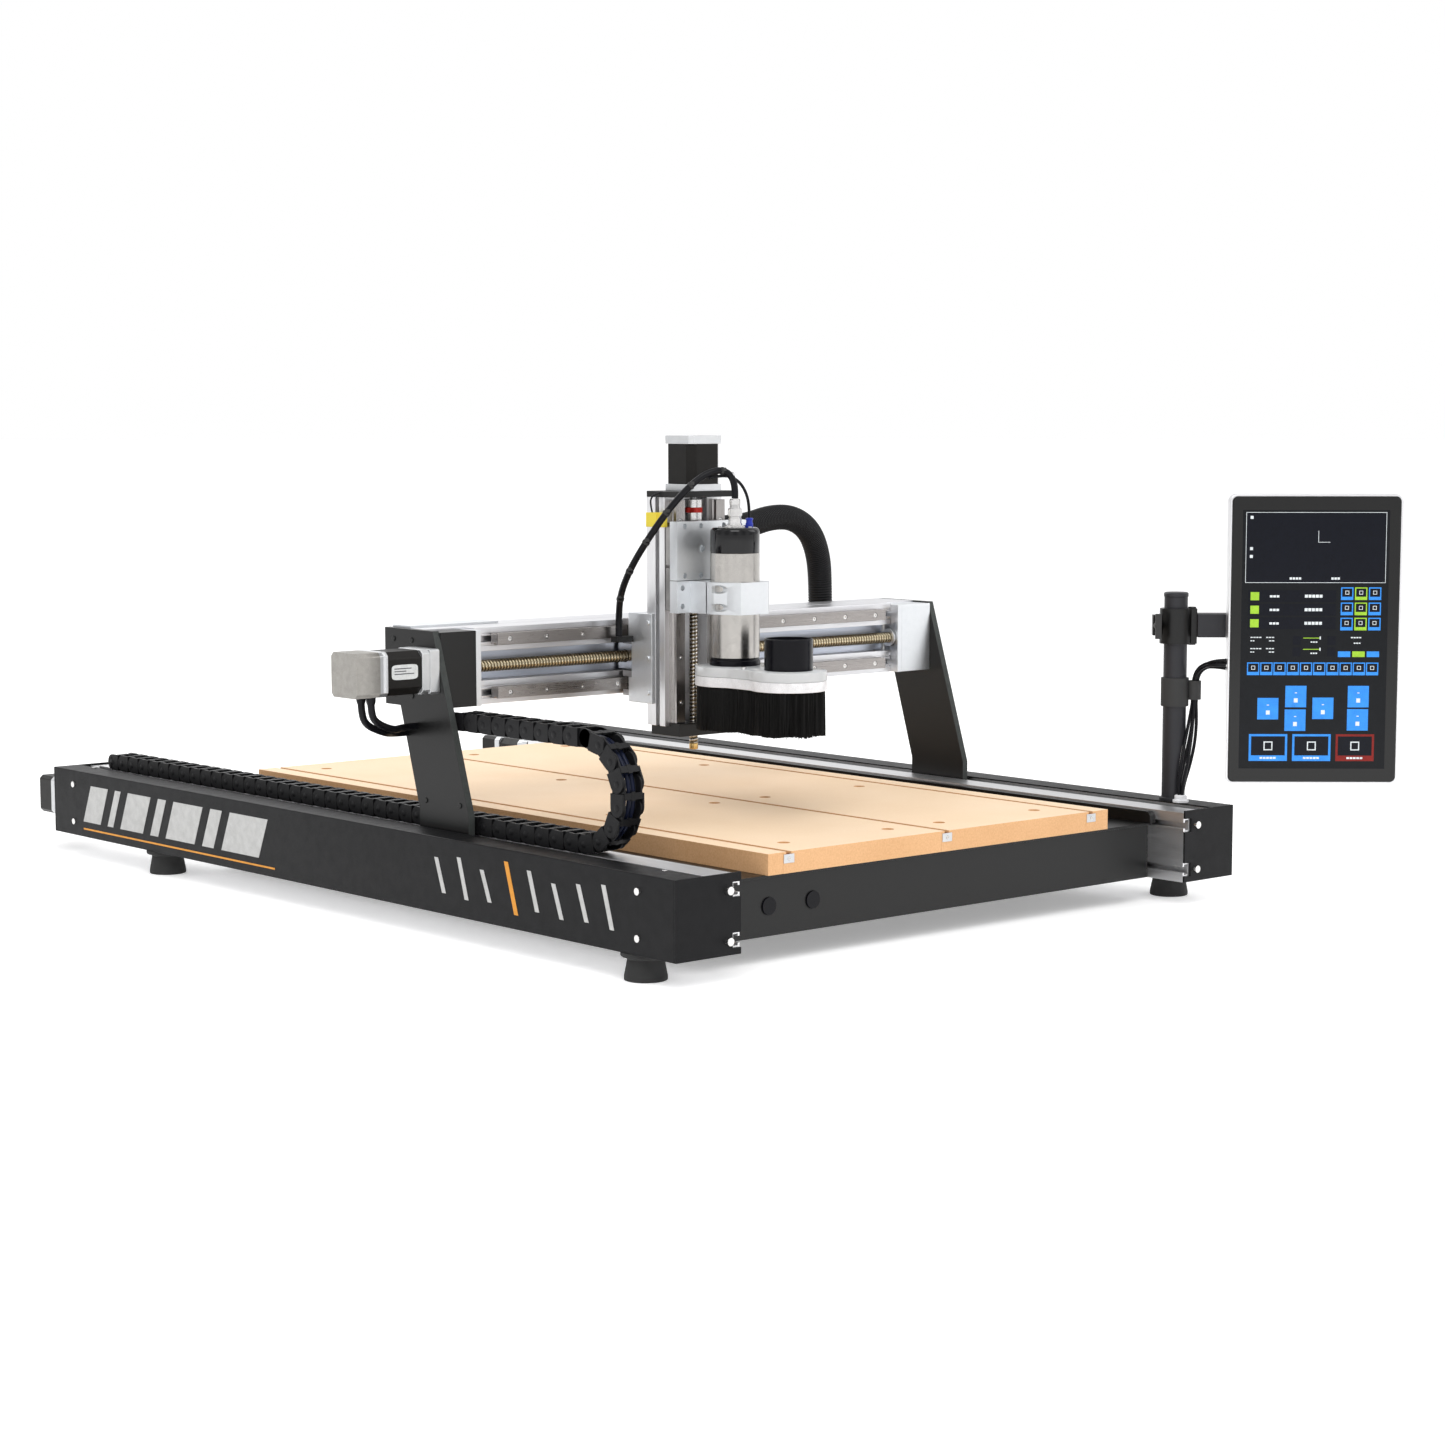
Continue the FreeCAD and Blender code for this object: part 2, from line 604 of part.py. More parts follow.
def beam_end_covers():
    """Covers between the beam's bearing plates and the legs."""
    left = end_cover(-LEG_INNER, BEAM_OPEN[0] - BEARING_PLATE)
    right = end_cover(BEAM_OPEN[1] + BEARING_PLATE, LEG_INNER)
    return [left, right]


def beam_end_plates():
    """Bearing plates at both ends of the X screw, with a ring on the right one."""
    plates = []
    bore = SCREW_DIAMETER / 2 + RUNNING
    for x in (BEAM_OPEN[0] - BEARING_PLATE, BEAM_OPEN[1]):
        plate = box(x, x + BEARING_PLATE, GUIDE_FRONT, RECESS_BACK, BEAM_Z, BEAM_TOP - 2)
        plates.append(plate.cut(rod("x", (x, X_SCREW_Y, BEAM_MID), bore, BEARING_PLATE)))
    ring = rod("x", (BEAM_OPEN[1] - 4, X_SCREW_Y, BEAM_MID), 13.0, 4)
    plates.append(ring.cut(rod("x", (BEAM_OPEN[1] - 4, X_SCREW_Y, BEAM_MID), bore, 4)))
    return plates


def x_linear_rails():
    """Two guide rails on the beam's front face."""
    half = X_GUIDE_LENGTH / 2
    rails = []
    for z in guide_heights():
        rail = guide_along_y(0, -half, half, 0)
        rail.rotate(V(0, 0, 0), V(0, 0, 1), 90)
        rail.rotate(V(0, 0, 0), V(1, 0, 0), 90)
        rail.translate(V(0, BEAM_FRONT_Y, z))
        rails.append(rail)
    return rails


def x_motor():
    """Motor on the left leg, pointing away from the machine."""
    parts = []
    for part in motor_lying(0):
        lying = turned(part, (0, 1, 0), -90, (0, 0, 0))
        lying.translate(V(-LEG_OUTER, X_SCREW_Y, BEAM_MID))
        parts.append(lying)
    return parts


def x_motor_cables():
    """Two leads from the encoder cap, looping back into the leg's rear edge."""
    x = -LEG_OUTER - MOTOR_PAD - 2 * MOTOR_FLANGE - MOTOR_BODY - 8
    low = BEAM_MID - MOTOR_SIZE / 2
    leads = []
    for out, back in ((0, 0), (10, -22)):
        y = X_SCREW_Y + 4 + back
        route = [(x, y, low), (x, y, low - 18), (x + 8, y + 3, low - 37 + out / 2),
                 (x + 42, y + 12, low - 50 + out / 2), (-LEG_OUTER - 22, y + 42, low - 56 + out),
                 (-LEG_OUTER, y + 42, low - 56 + out)]
        leads.append(bent_tube(route, LEAD_RADIUS))
    return leads


def gantry_brackets():
    """Chain bracket on the left leg, hose clamp and cable sheet behind the beam."""
    y = upper_run_end()
    z = upper_run_z()
    tongue = box(CHAIN_X - CHAIN_WIDTH / 2, CHAIN_X + CHAIN_WIDTH / 2, y, y + 52, z, z + 3)
    web = box(-LEG_INNER, CHAIN_X - CHAIN_WIDTH / 2, y, y + 52, z, z + CHAIN_HEIGHT)
    x, hose_y, hose_z = HOSE_ROUTE[-1]
    clamp = box(x - 22, x + 22, BEAM_REAR_Y, hose_y + 20, hose_z - 12, hose_z)
    top = box(-LEG_INNER, -300, 596, 636, BEAM_TOP, BEAM_TOP + 3)
    return [fuse([tongue, web]), clamp, top]


def cables(route, radius):
    """One held cable as a plain tube."""
    return [bent_tube(route, radius)]


# ---- cable chain --------------------------------------------------------------------
def link_bar(y0, y1, z):
    """One straight chain link, open through its middle."""
    h = CHAIN_WIDTH / 2
    bar = box(CHAIN_X - h, CHAIN_X + h, y0, y1, z, z + CHAIN_HEIGHT)
    return bar.cut(box(CHAIN_X - h + 4, CHAIN_X + h - 4, y0, y1, z + 3, z + CHAIN_HEIGHT - 3))


def upper_run_z():
    """Underside of the chain's upper run."""
    return STRIP_TOP + 2 * CHAIN_RADIUS


def upper_run_end():
    """Y where the chain meets the gantry."""
    return CHAIN_LOOP_Y + UPPER_LINKS * CHAIN_PITCH


def chain_run(z, links):
    """Straight run of links from the loop towards the rear."""
    starts = [CHAIN_LOOP_Y + i * CHAIN_PITCH for i in range(links)]
    return [link_bar(y, y + CHAIN_PITCH, z) for y in starts]


def chain_loop():
    """Links around the chain's front bend."""
    step = 180.0 / CHAIN_LOOP_LINKS
    inner = CHAIN_RADIUS - CHAIN_HEIGHT / 2
    h = CHAIN_WIDTH / 2
    links = []
    for i in range(CHAIN_LOOP_LINKS):
        origin = V(CHAIN_X - h, CHAIN_LOOP_Y, CHAIN_AXIS_Z)
        outer = Part.makeCylinder(inner + CHAIN_HEIGHT, CHAIN_WIDTH, origin, V(1, 0, 0), step)
        hole = Part.makeCylinder(inner, CHAIN_WIDTH, origin, V(1, 0, 0), step)
        wedge = outer.cut(hole).Solids[0]
        start = wedge.CenterOfMass
        now = math.degrees(math.atan2(start.z - CHAIN_AXIS_Z, start.y - CHAIN_LOOP_Y))
        want = 90.0 + (i + 0.5) * step
        wedge.rotate(V(CHAIN_X, CHAIN_LOOP_Y, CHAIN_AXIS_Z), V(1, 0, 0), want - now)
        links.append(wedge)
    return links


def chain_anchor():
    """Bracket that ties the chain's rear end to the rail strip."""
    y = CHAIN_LOOP_Y + LOWER_LINKS * CHAIN_PITCH
    h = CHAIN_WIDTH / 2
    foot = box(CHAIN_X - h, CHAIN_X + h, y, y + 38, STRIP_TOP, STRIP_TOP + 3)
    heel = box(CHAIN_X - h, CHAIN_X + h, y, y + 3, STRIP_TOP, STRIP_TOP + CHAIN_HEIGHT - 4)
    head = rod("z", (CHAIN_X, y + 24, STRIP_TOP + 3), 4.5, 3)
    return [fuse([foot, heel]), head]


# ---- drive screws -------------------------------------------------------------------
def y_screw(side):
    """One Y screw and the coupling to its motor."""
    x = side * Y_SCREW_X
    shaft = rod("y", (x, 18, Y_SCREW_Z), SCREW_DIAMETER / 2, Y_SCREW_END - 18)
    hub = rod("y", (x, Y_SCREW_END, Y_SCREW_Z), 12.5, 30)
    return [shaft, hub.cut(rod("y", (x, Y_SCREW_END, Y_SCREW_Z), 4.0 + NUT_GAP, 30))]


def x_ball_screw():
    """X screw and the coupling to its motor."""
    x0 = -LEG_INNER + 30
    x1 = BEAM_OPEN[1] + BEARING_PLATE + 12
    shaft = rod("x", (x0, X_SCREW_Y, BEAM_MID), SCREW_DIAMETER / 2, x1 - x0)
    hub = rod("x", (x0 - 27, X_SCREW_Y, BEAM_MID), 12.5, 27)
    hub = hub.cut(rod("x", (x0 - 27, X_SCREW_Y, BEAM_MID), 4.0 + NUT_GAP, 27))
    return [shaft, hub]


def z_ball_screw():
    """Z screw, from below the bottom bearing, and its jaw coupling."""
    low = RAIL_TOP + 89
    shaft = rod("z", (CARRIAGE_X, COLUMN_FRONT, low), Z_SCREW_DIAMETER / 2, coupling_base() - low)
    return [shaft] + z_coupling()


def coupling_base():
    """Z of the coupling's lower end."""
    return COLUMN_TOP - 32


def z_coupling():
    """Jaw coupling: two hubs with a rubber spider between them."""
    z = coupling_base()
    parts = []
    for start, height, radius in ((0, 11, 12.5), (11, 7, 12.0), (18, 11, 12.5)):
        hub = rod("z", (CARRIAGE_X, COLUMN_FRONT, z + start), radius, height)
        if start > 0:
            hub = hub.cut(rod("z", (CARRIAGE_X, COLUMN_FRONT, z + start), 4.0 + NUT_GAP, height))
        parts.append(hub)
    return parts


# ---- X carriage ---------------------------------------------------------------------
def carriage_half():
    """Half the carriage width, with its cheeks."""
    return COLUMN_WIDTH / 2 + CHEEK


def x_carriage_plate():
    """Thick plate, relieved behind its middle, with cheeks that hold the column."""
    x = CARRIAGE_X
    half = carriage_half()
    low = RAIL_TOP + 144
    high = low + CARRIAGE_HEIGHT
    plate = box(x - half, x + half, COLUMN_REAR, PLATE_REAR, low, high)
    relief = box(x - half, x + half, PLATE_FACE, PLATE_REAR, BEAM_MID - 26, BEAM_MID + 28)
    cheeks = [box(x + s * half - (CHEEK if s > 0 else 0), x + s * half + (CHEEK if s < 0 else 0),
                  COLUMN_REAR - 17, COLUMN_REAR, low, high) for s in (-1, 1)]
    body = fuse([plate.cut(relief)] + cheeks)
    heads = []
    for z in (low + 14.5, low + 60.4, low + 108):
        heads.append(rod("x", (x - half - 2, COLUMN_REAR - 9, z), 3.5, 2))
        heads.append(rod("x", (x + half, COLUMN_REAR - 9, z), 3.5, 2))
    return [body] + heads


def x_bearing_blocks():
    """Four guide blocks between the carriage and the beam's rails."""
    blocks = []
    for z in guide_heights():
        for x0 in (CARRIAGE_X - 50, CARRIAGE_X + 3):
            block = box(x0, x0 + 47, PLATE_REAR, BEAM_FRONT_Y - BLOCK_GAP, z - 17, z + 17)
            channel = box(x0, x0 + 47, GUIDE_FRONT - 1, BEAM_FRONT_Y, z - 8.5, z + 8.5)
            blocks.append(block.cut(channel))
    return blocks


def x_ball_nut():
    """Nut housing bolted to the back of the carriage."""
    half = 17.5
    body = box(CARRIAGE_X - 41, CARRIAGE_X + 19, PLATE_FACE, X_SCREW_Y + 14, BEAM_MID - half,
               BEAM_MID + half)
    bore = rod("x", (CARRIAGE_X - 41, X_SCREW_Y, BEAM_MID), SCREW_DIAMETER / 2 + NUT_GAP, 60)
    return [body.cut(bore)]


def z_column():
    """Slotted column extrusion, open at the front for the screw."""
    x = CARRIAGE_X
    h = COLUMN_WIDTH / 2
    body = box(x - h, x + h, COLUMN_FRONT, COLUMN_REAR, COLUMN_Z, COLUMN_TOP)
    channel = box(x - 24, x + 24, COLUMN_FRONT, COLUMN_FRONT + 26, COLUMN_Z, COLUMN_TOP)
    y = COLUMN_FRONT + 15
    slots = []
    for s in (-1, 1):
        edge = x + s * h
        slots.append(box(edge - 5, edge + 5, y - 4, y + 4, COLUMN_Z, COLUMN_TOP))
        mid = edge - s * 8
        slots.append(box(mid - 4, mid + 4, y - 7, y + 7, COLUMN_Z, COLUMN_TOP))
    return [cut(body, [channel] + slots)]


def z_guide_lines():
    """X of the two Z guide rails."""
    return (CARRIAGE_X - Z_GUIDE_SPACING / 2, CARRIAGE_X + Z_GUIDE_SPACING / 2)


def z_linear_rails():
    """Guide rails up the front of the column."""
    z0 = COLUMN_Z + 5
    z1 = COLUMN_TOP - 4
    rails = []
    for x in z_guide_lines():
        rail = guide_along_y(0, -z1, -z0, 0)
        rail.rotate(V(0, 0, 0), V(1, 0, 0), -90)
        rail.rotate(V(0, 0, 0), V(0, 0, 1), 180)
        box_now = rail.BoundBox
        rail.translate(V(x - (box_now.XMin + box_now.XMax) / 2, COLUMN_FRONT - box_now.YMax,
                         z0 - box_now.ZMin))
        rails.append(rail)
    return rails


def z_end_plates():
    """Motor plate on the column and the bearing block at its foot."""
    x = CARRIAGE_X
    h = COLUMN_WIDTH / 2
    top = box(x - h, x + h, Z_PLATE_REAR - 6, COLUMN_REAR, COLUMN_TOP, COLUMN_TOP + 8)
    top = top.cut(rod("z", (x, COLUMN_FRONT, COLUMN_TOP), 19.05, 8))
    low = COLUMN_Z - 13
    foot = fuse([box(x - 43, x + 43, COLUMN_FRONT - 22, COLUMN_REAR, low, COLUMN_Z),
                 box(x - 43, x + 43, COLUMN_FRONT - 22, COLUMN_FRONT, COLUMN_Z, COLUMN_Z + 4.5)])
    bore = rod("z", (x, COLUMN_FRONT, low), Z_SCREW_DIAMETER / 2 + RUNNING, 20)
    return [top, foot.cut(bore)]


def z_motor():
    """Motor that stands on the column."""
    return motor_along_z(CARRIAGE_X, COLUMN_FRONT, COLUMN_TOP + 8)


def limit_sensor():
    """Sensor on the column's side."""
    x = CARRIAGE_X - COLUMN_WIDTH / 2
    z = RAIL_TOP + SENSOR_BASE
    head = box(x - SENSOR_STEP, x - 4, COLUMN_FRONT - 11, COLUMN_FRONT + 1, z, z + SENSOR_HEIGHT)
    body = box(x - SENSOR_WIDTH, x, COLUMN_FRONT + 1, COLUMN_FRONT + 22, z, z + SENSOR_HEIGHT)
    return [fuse([head, body])]


def carriage_brackets():
    """Clip for the spindle cable and bracket for the hose behind the column."""
    end_x, end_y, end_z = CABLE_ROUTE[-1]
    clip = box(end_x - 8, CARRIAGE_X - carriage_half(), end_y - 8, end_y + 7, end_z - 8, end_z)
    hose_x, hose_y, hose_z = HOSE_ROUTE[0]
    bracket = box(hose_x - 20, hose_x + 20, COLUMN_REAR, hose_y + 20, hose_z - 12, hose_z)
    return [clip, bracket]


# ---- Z carriage and spindle ---------------------------------------------------------
def z_plate():
    """Upper front plate with its screw holes."""
    half = Z_PLATE_WIDTH / 2
    z0, z1 = (RAIL_TOP + z for z in Z_PLATE_RANGE)
    plate = box(CARRIAGE_X - half, CARRIAGE_X + half, Z_PLATE_FACE, Z_PLATE_REAR, z0, z1)
    holes = [rod("y", (CARRIAGE_X + dx, Z_PLATE_FACE, z), 3.5, 7)
             for dx in (-48, -20, 20, 48) for z in (z0 + 6, z1 - 6)]
    holes.append(rod("y", (CARRIAGE_X - 18, Z_PLATE_FACE, z0 + 41), 4.5, 7))
    return [cut(plate, holes)]


def z_bearing_blocks():
    """Four guide blocks and the Z nut behind the front plates."""
    blocks = []
    low = RAIL_TOP + CLAMP_RANGE[0] + 2
    for x in z_guide_lines():
        for z in (low, low + 60):
            block = box(x - 17, x + 17, Z_PLATE_REAR, COLUMN_FRONT - BLOCK_GAP, z, z + 56)
            channel = box(x - 8.5, x + 8.5, Z_GUIDE_FACE - 1, COLUMN_FRONT, z, z + 56)
            blocks.append(block.cut(channel))
    z = low + 60
    nut = box(CARRIAGE_X - 16, CARRIAGE_X + 16, Z_PLATE_REAR, COLUMN_FRONT + 13, z, z + 28)
    bore = rod("z", (CARRIAGE_X, COLUMN_FRONT, z), Z_SCREW_DIAMETER / 2 + NUT_GAP, 28)
    blocks.append(nut.cut(bore))
    return blocks


def spindle_clamp():
    """Split clamp block with its flange, bored for the spindle."""
    x = CARRIAGE_X
    z0, z1 = (RAIL_TOP + z for z in CLAMP_RANGE)
    half = Z_PLATE_WIDTH / 2
    flange = box(x - half, x + half, Z_PLATE_FACE, Z_PLATE_REAR, z0, z1)
    reach = SPINDLE_R + 6.5
    nose = SPINDLE_Y - SPINDLE_R - 5.5
    outline = [(-reach, Z_PLATE_FACE), (-reach, SPINDLE_Y - 2), (-reach + 16, nose), (reach - 14, nose),
               (reach, nose + 14), (reach, Z_PLATE_FACE)]
    block = prism([(x + a, b, z0) for a, b in outline], (0, 0, z1 - z0))
    body = fuse([flange, block])
    bore = rod("z", (x, SPINDLE_Y, z0), SPINDLE_R + 0.1, z1 - z0)
    split = box(x - reach, x - SPINDLE_R + 1, SPINDLE_Y + 11, SPINDLE_Y + 13.5, z0, z1)
    holes = [rod("y", (x + dx, Z_PLATE_FACE, z), 3.5, 7) for dx in (-52, 52) for z in (z0 + 9, z1 - 9)]
    scallops = [rod("y", (x - reach + 3, SPINDLE_Y - 24, z), 5.5, 26) for z in (z0 + 9, z1 - 9)]
    return [cut(body, [bore, split] + holes + scallops)]


def spindle_body():
    """Steel spindle housing and the stator ring inside it."""
    z0 = RAIL_TOP + SPINDLE_BASE
    x = CARRIAGE_X
    shell = rod("z", (x, SPINDLE_Y, z0), SPINDLE_R, SPINDLE_STEEL)
    shell = shell.cut(rod("z", (x, SPINDLE_Y, z0 + 8), SPINDLE_R - 5, SPINDLE_STEEL - 8))
    shell = shell.cut(rod("z", (x, SPINDLE_Y, z0), 9.0, 8))
    stator = rod("z", (x, SPINDLE_Y, z0 + 30), SPINDLE_R - 5, 80)
    stator = stator.cut(rod("z", (x, SPINDLE_Y, z0 + 30), 14.0, 80))
    return [shell, stator]


def spindle_cap():
    """Top cap, round connector, push fitting and the collar at the spindle's foot."""
    x = CARRIAGE_X
    z = RAIL_TOP + SPINDLE_BASE + SPINDLE_STEEL
    cap = rod("z", (x, SPINDLE_Y, z), SPINDLE_R, SPINDLE_CAP)
    cap = cap.makeChamfer(3.0, [e for e in cap.Edges if e.BoundBox.ZMin > z + SPINDLE_CAP - 0.1])
    top = z + SPINDLE_CAP
    socket = rod("z", (x, SPINDLE_Y, top), 9.0, 14)
    plug = rod("z", (x, SPINDLE_Y, top + 14), 8.0, 23)
    fitting = rod("z", (x + 18, SPINDLE_Y - 8, top), 5.0, 12)
    collar = rod("z", (x, SPINDLE_Y, SHOE_Z), SPINDLE_R + 1.1, RAIL_TOP + SPINDLE_BASE - SHOE_Z)
    collar = collar.cut(rod("z", (x, SPINDLE_Y, SHOE_Z), 18.0, 20))
    return [cap, socket, plug, fitting, collar]


def collet():
    """Spindle shaft with its collet nut, bored for a cutter."""
    x = CARRIAGE_X
    z0 = RAIL_TOP + SPINDLE_BASE
    shaft = rod("z", (x, SPINDLE_Y, z0 - 30), 8.5, 150)
    rotor = rod("z", (x, SPINDLE_Y, z0 + 32), 13.0, 76)
    nut = rod("z", (x, SPINDLE_Y, z0 - 56), 10.0, 26)
    whole = fuse([shaft, rotor, nut])
    return [whole.cut(rod("z", (x, SPINDLE_Y, z0 - 56), 3.175, 30))]


def shoe_outline(rear, front, z0, z1):
    """Two-lobed plan of the dust shoe between two heights."""
    x = CARRIAGE_X
    back = rod("z", (x, SPINDLE_Y, z0), rear, z1 - z0)
    nose = rod("z", (x, PORT_Y, z0), front, z1 - z0)
    waist = min(rear, front) - 8
    middle = box(x - waist, x + waist, PORT_Y, SPINDLE_Y, z0, z1)
    return fuse([back, nose, middle])


def dust_shoe_plate():
    """Clear plate of the dust shoe, open under the spindle and at the port."""
    z0 = SHOE_Z - SHOE_PLATE
    plate = shoe_outline(53, 50, z0, SHOE_Z)
    tools = [rod("z", (CARRIAGE_X, SPINDLE_Y, z0), 20.0, SHOE_PLATE),
             rod("z", (CARRIAGE_X, PORT_Y, z0), PORT_DIAMETER / 2 - PORT_WALL, SHOE_PLATE)]
    return [cut(plate, tools)]


def brush_strip():
    """Pale strip that holds the bristles, and the brush itself, as hollow rings."""
    z1 = SHOE_Z - SHOE_PLATE
    z0 = z1 - SHOE_STRIP
    strip = shoe_outline(53, 50, z0, z1).cut(shoe_outline(44, 41, z0, z1))
    brush = shoe_outline(50, 47, z0 - BRISTLE, z0).cut(shoe_outline(45, 42, z0 - BRISTLE, z0))
    return [strip, brush]


def dust_port():
    """Tube that a vacuum hose pushes on to."""
    tube = rod("z", (CARRIAGE_X, PORT_Y, SHOE_Z), PORT_DIAMETER / 2, PORT_LENGTH)
    bore = rod("z", (CARRIAGE_X, PORT_Y, SHOE_Z), PORT_DIAMETER / 2 - PORT_WALL, PORT_LENGTH)
    return [tube.cut(bore)]


# ---- monitor ------------------------------------------------------------------------
def on_arm(shape):
    """Turn a shape made along +X from the pole to the arm's direction."""
    placed = shape.copy()
    placed.rotate(V(0, 0, 0), V(0, 0, 1), SCREEN_TURN)
    placed.translate(V(POLE_X, POLE_Y, 0))
    return placed


def monitor_pole():
    """Pole with its foot ring and cap."""
    pole = rod("z", (POLE_X, POLE_Y, RAIL_TOP), POLE_R, POLE_HEIGHT - 6)
    foot = rod("z", (POLE_X, POLE_Y, RAIL_TOP), POLE_R + 3, 4)
    cap = rod("z", (POLE_X, POLE_Y, RAIL_TOP + POLE_HEIGHT - 6), POLE_R + 0.8, 6)
    cap = cap.makeChamfer(1.5, [e for e in cap.Edges if e.BoundBox.ZMin > RAIL_TOP + POLE_HEIGHT - 0.1])
    return [fuse([pole, foot]), cap]


def pole_clamp():
    """Split ring that holds the arm on the pole, with ears for the screw and the arm."""
    z0 = ARM_Z - 25
    z1 = ARM_Z + 23
    ring = Part.makeCylinder(POLE_R + 6, z1 - z0, V(0, 0, z0))
    ears = box(POLE_R - 2, POLE_R + 12, -9, 9, z0, z1)
    lug = box(-POLE_R - 16, -POLE_R, -7, 7, ARM_Z - 14, ARM_Z + 14)
    body = fuse([ring, ears, lug])
    bore = Part.makeCylinder(POLE_R + PIVOT_GAP, z1 - z0, V(0, 0, z0))
    stud = Part.makeCylinder(4 + PIVOT_GAP, 14, V(-POLE_R - 11, -7, ARM_Z), V(0, 1, 0))
    washers = [Part.makeCylinder(5.5, 2, V(POLE_R + 6, 0, z)) for z in (z0 - 2, z1)]
    return [on_arm(s) for s in [cut(body, [bore, stud])] + washers]


def monitor_arm():
    """Square arm behind the screen, ending in a round spigot."""
    h = ARM_SIZE / 2
    start = POLE_R + 12
    tube = box(start, SCREEN_OUT - 22, -h, h, ARM_Z - h, ARM_Z + h)
    spigot = Part.makeCylinder(10, 46, V(SCREEN_OUT - 22, 0, ARM_Z), V(1, 0, 0))
    end = Part.makeCylinder(14, 5, V(SCREEN_OUT + 24, 0, ARM_Z), V(1, 0, 0))
    return [on_arm(fuse([tube, spigot, end]))]


def clamp_knob():
    """Knob and stud that tighten the pole clamp."""
    x = -POLE_R - 11
    stud = Part.makeCylinder(4, 13.5, V(x, -7.5, ARM_Z), V(0, 1, 0))
    hub = Part.makeCylinder(4.7, 18, V(x, -25.5, ARM_Z), V(0, 1, 0))
    wing = box(x - 4, x + 4, -31.5, -24.5, ARM_Z - 17, ARM_Z + 17)
    return [on_arm(fuse([stud, hub, wing]))]


def rounded_panel(x0, x1, y0, y1, z0, z1, radius):
    """Upright panel with rounded corners, thin along Y."""
    panel = box(x0, x1, y0, y1, z0, z1)
    edges = [e for e in panel.Edges if e.BoundBox.YLength > abs(y1 - y0) - 0.1]
    return panel.makeFillet(radius, edges)


def screen_housing():
    """Shallow tray behind the glass, with the tilt bracket around the arm's spigot."""
    x0 = SCREEN_OUT - SCREEN_WIDTH / 2
    x1 = SCREEN_OUT + SCREEN_WIDTH / 2
    z0 = SCREEN_Z - SCREEN_HEIGHT / 2
    z1 = SCREEN_Z + SCREEN_HEIGHT / 2
    front = -SCREEN_FORWARD + 1.5
    rear = -SCREEN_FORWARD + SCREEN_DEPTH
    tray = rounded_panel(x0, x1, front, rear, z0, z1, 10)
    inside = rounded_panel(x0 + 3, x1 - 3, front, rear - 3, z0 + 3, z1 - 3, 7)
    bracket = box(SCREEN_OUT - 20, SCREEN_OUT + 22, rear, 15, ARM_Z - 15, ARM_Z + 15)
    bore = Part.makeCylinder(10 + PIVOT_GAP, 44, V(SCREEN_OUT - 21, 0, ARM_Z), V(1, 0, 0))
    return [on_arm(fuse([tray.cut(inside), bracket.cut(bore)]))]


def screen_glass():
    """Glass front set into the tray, and the board behind it."""
    x0 = SCREEN_OUT - SCREEN_WIDTH / 2
    x1 = SCREEN_OUT + SCREEN_WIDTH / 2
    z0 = SCREEN_Z - SCREEN_HEIGHT / 2
    z1 = SCREEN_Z + SCREEN_HEIGHT / 2
    front = -SCREEN_FORWARD
    glass = rounded_panel(x0 + 3, x1 - 3, front, front + 5, z0 + 3, z1 - 3, 7)
    board = box(x0 + 12, x1 - 12, front + 5, front + 18, z0 + 14, z1 - 14)
    return [on_arm(glass), on_arm(board)]


def cable_clip():
    """Collar on the pole with a small clip for the cables."""
    z0 = RAIL_TOP + 130
    ring = Part.makeCylinder(POLE_R + 3, 39, V(POLE_X, POLE_Y, z0))
    ring = ring.cut(Part.makeCylinder(POLE_R, 39, V(POLE_X, POLE_Y, z0)))
    x, y = clip_place()
    holder = Part.makeCylinder(9.5, 26, V(x, y, z0 + 9))
    holder = holder.cut(Part.makeCylinder(6.6, 26, V(x, y, z0 + 9)))
    return [ring, holder.cut(Part.makeCylinder(POLE_R + 3, 39, V(POLE_X, POLE_Y, z0)))]


def clip_place():
    """X and Y of the cable clip beside the pole."""
    return (POLE_X + 17.0, POLE_Y - 20.0)


def monitor_cables():
    """Bundle from the screen's edge, through the clip, down to the pole's foot."""
    x, y = clip_place()
    edge = on_arm(box(63, 64, -43, -42, RAIL_TOP + 190, RAIL_TOP + 191)).Solids[0].CenterOfMass
    route = [(edge.x, edge.y, edge.z), (edge.x - 11, edge.y + 11, edge.z + 1),
             (x + 1, y - 11, RAIL_TOP + 184), (x, y - 1, RAIL_TOP + 168), (x, y - 1, RAIL_TOP + 132),
             (x - 5, y - 1, RAIL_TOP + 92), (x - 20, y - 4, RAIL_TOP + 50), (x - 28, y - 3, RAIL_TOP + 22),
             (x - 28, y - 3, RAIL_TOP)]
    return [bent_tube(route, 5.0)]


# ---- build --------------------------------------------------------------------------
os.makedirs("parts", exist_ok=True)

save("left_rail_extrusion", [mirrored(rail_extrusion())])
save("right_rail_extrusion", [rail_extrusion()])
save("rail_covers", rail_covers())
save("end_caps", end_caps())
save("crossbars", crossbars())
save("frame_screws", frame_screws())
save("bed_side_plates", bed_side_plates())
save("bed_sheet", bed_sheet())
save("spoilboard", spoilboard())
save("t_tracks", t_tracks())
save("feet", feet())
save("y_linear_rails", y_linear_rails())
save("y_screw_bearings", y_screw_bearings())
save("y_motors", y_motors())
save("left_leg", leg(-1))
save("right_leg", leg(1))
save("y_bearing_blocks", y_bearing_blocks())
save("beam_extrusion", beam_extrusion())
save("beam_end_covers", beam_end_covers())
save("beam_end_plates", beam_end_plates())
save("x_linear_rails", x_linear_rails())
save("x_motor", x_motor())
save("x_motor_cables", x_motor_cables())
save("gantry_brackets", gantry_brackets())
save("hose", cables(HOSE_ROUTE, HOSE_RADIUS))
save("spindle_cable", cables(CABLE_ROUTE, CABLE_RADIUS))
save("chain_lower_run", chain_run(STRIP_TOP, LOWER_LINKS))
save("chain_upper_run", chain_run(upper_run_z(), UPPER_LINKS))
save("chain_loop", chain_loop())
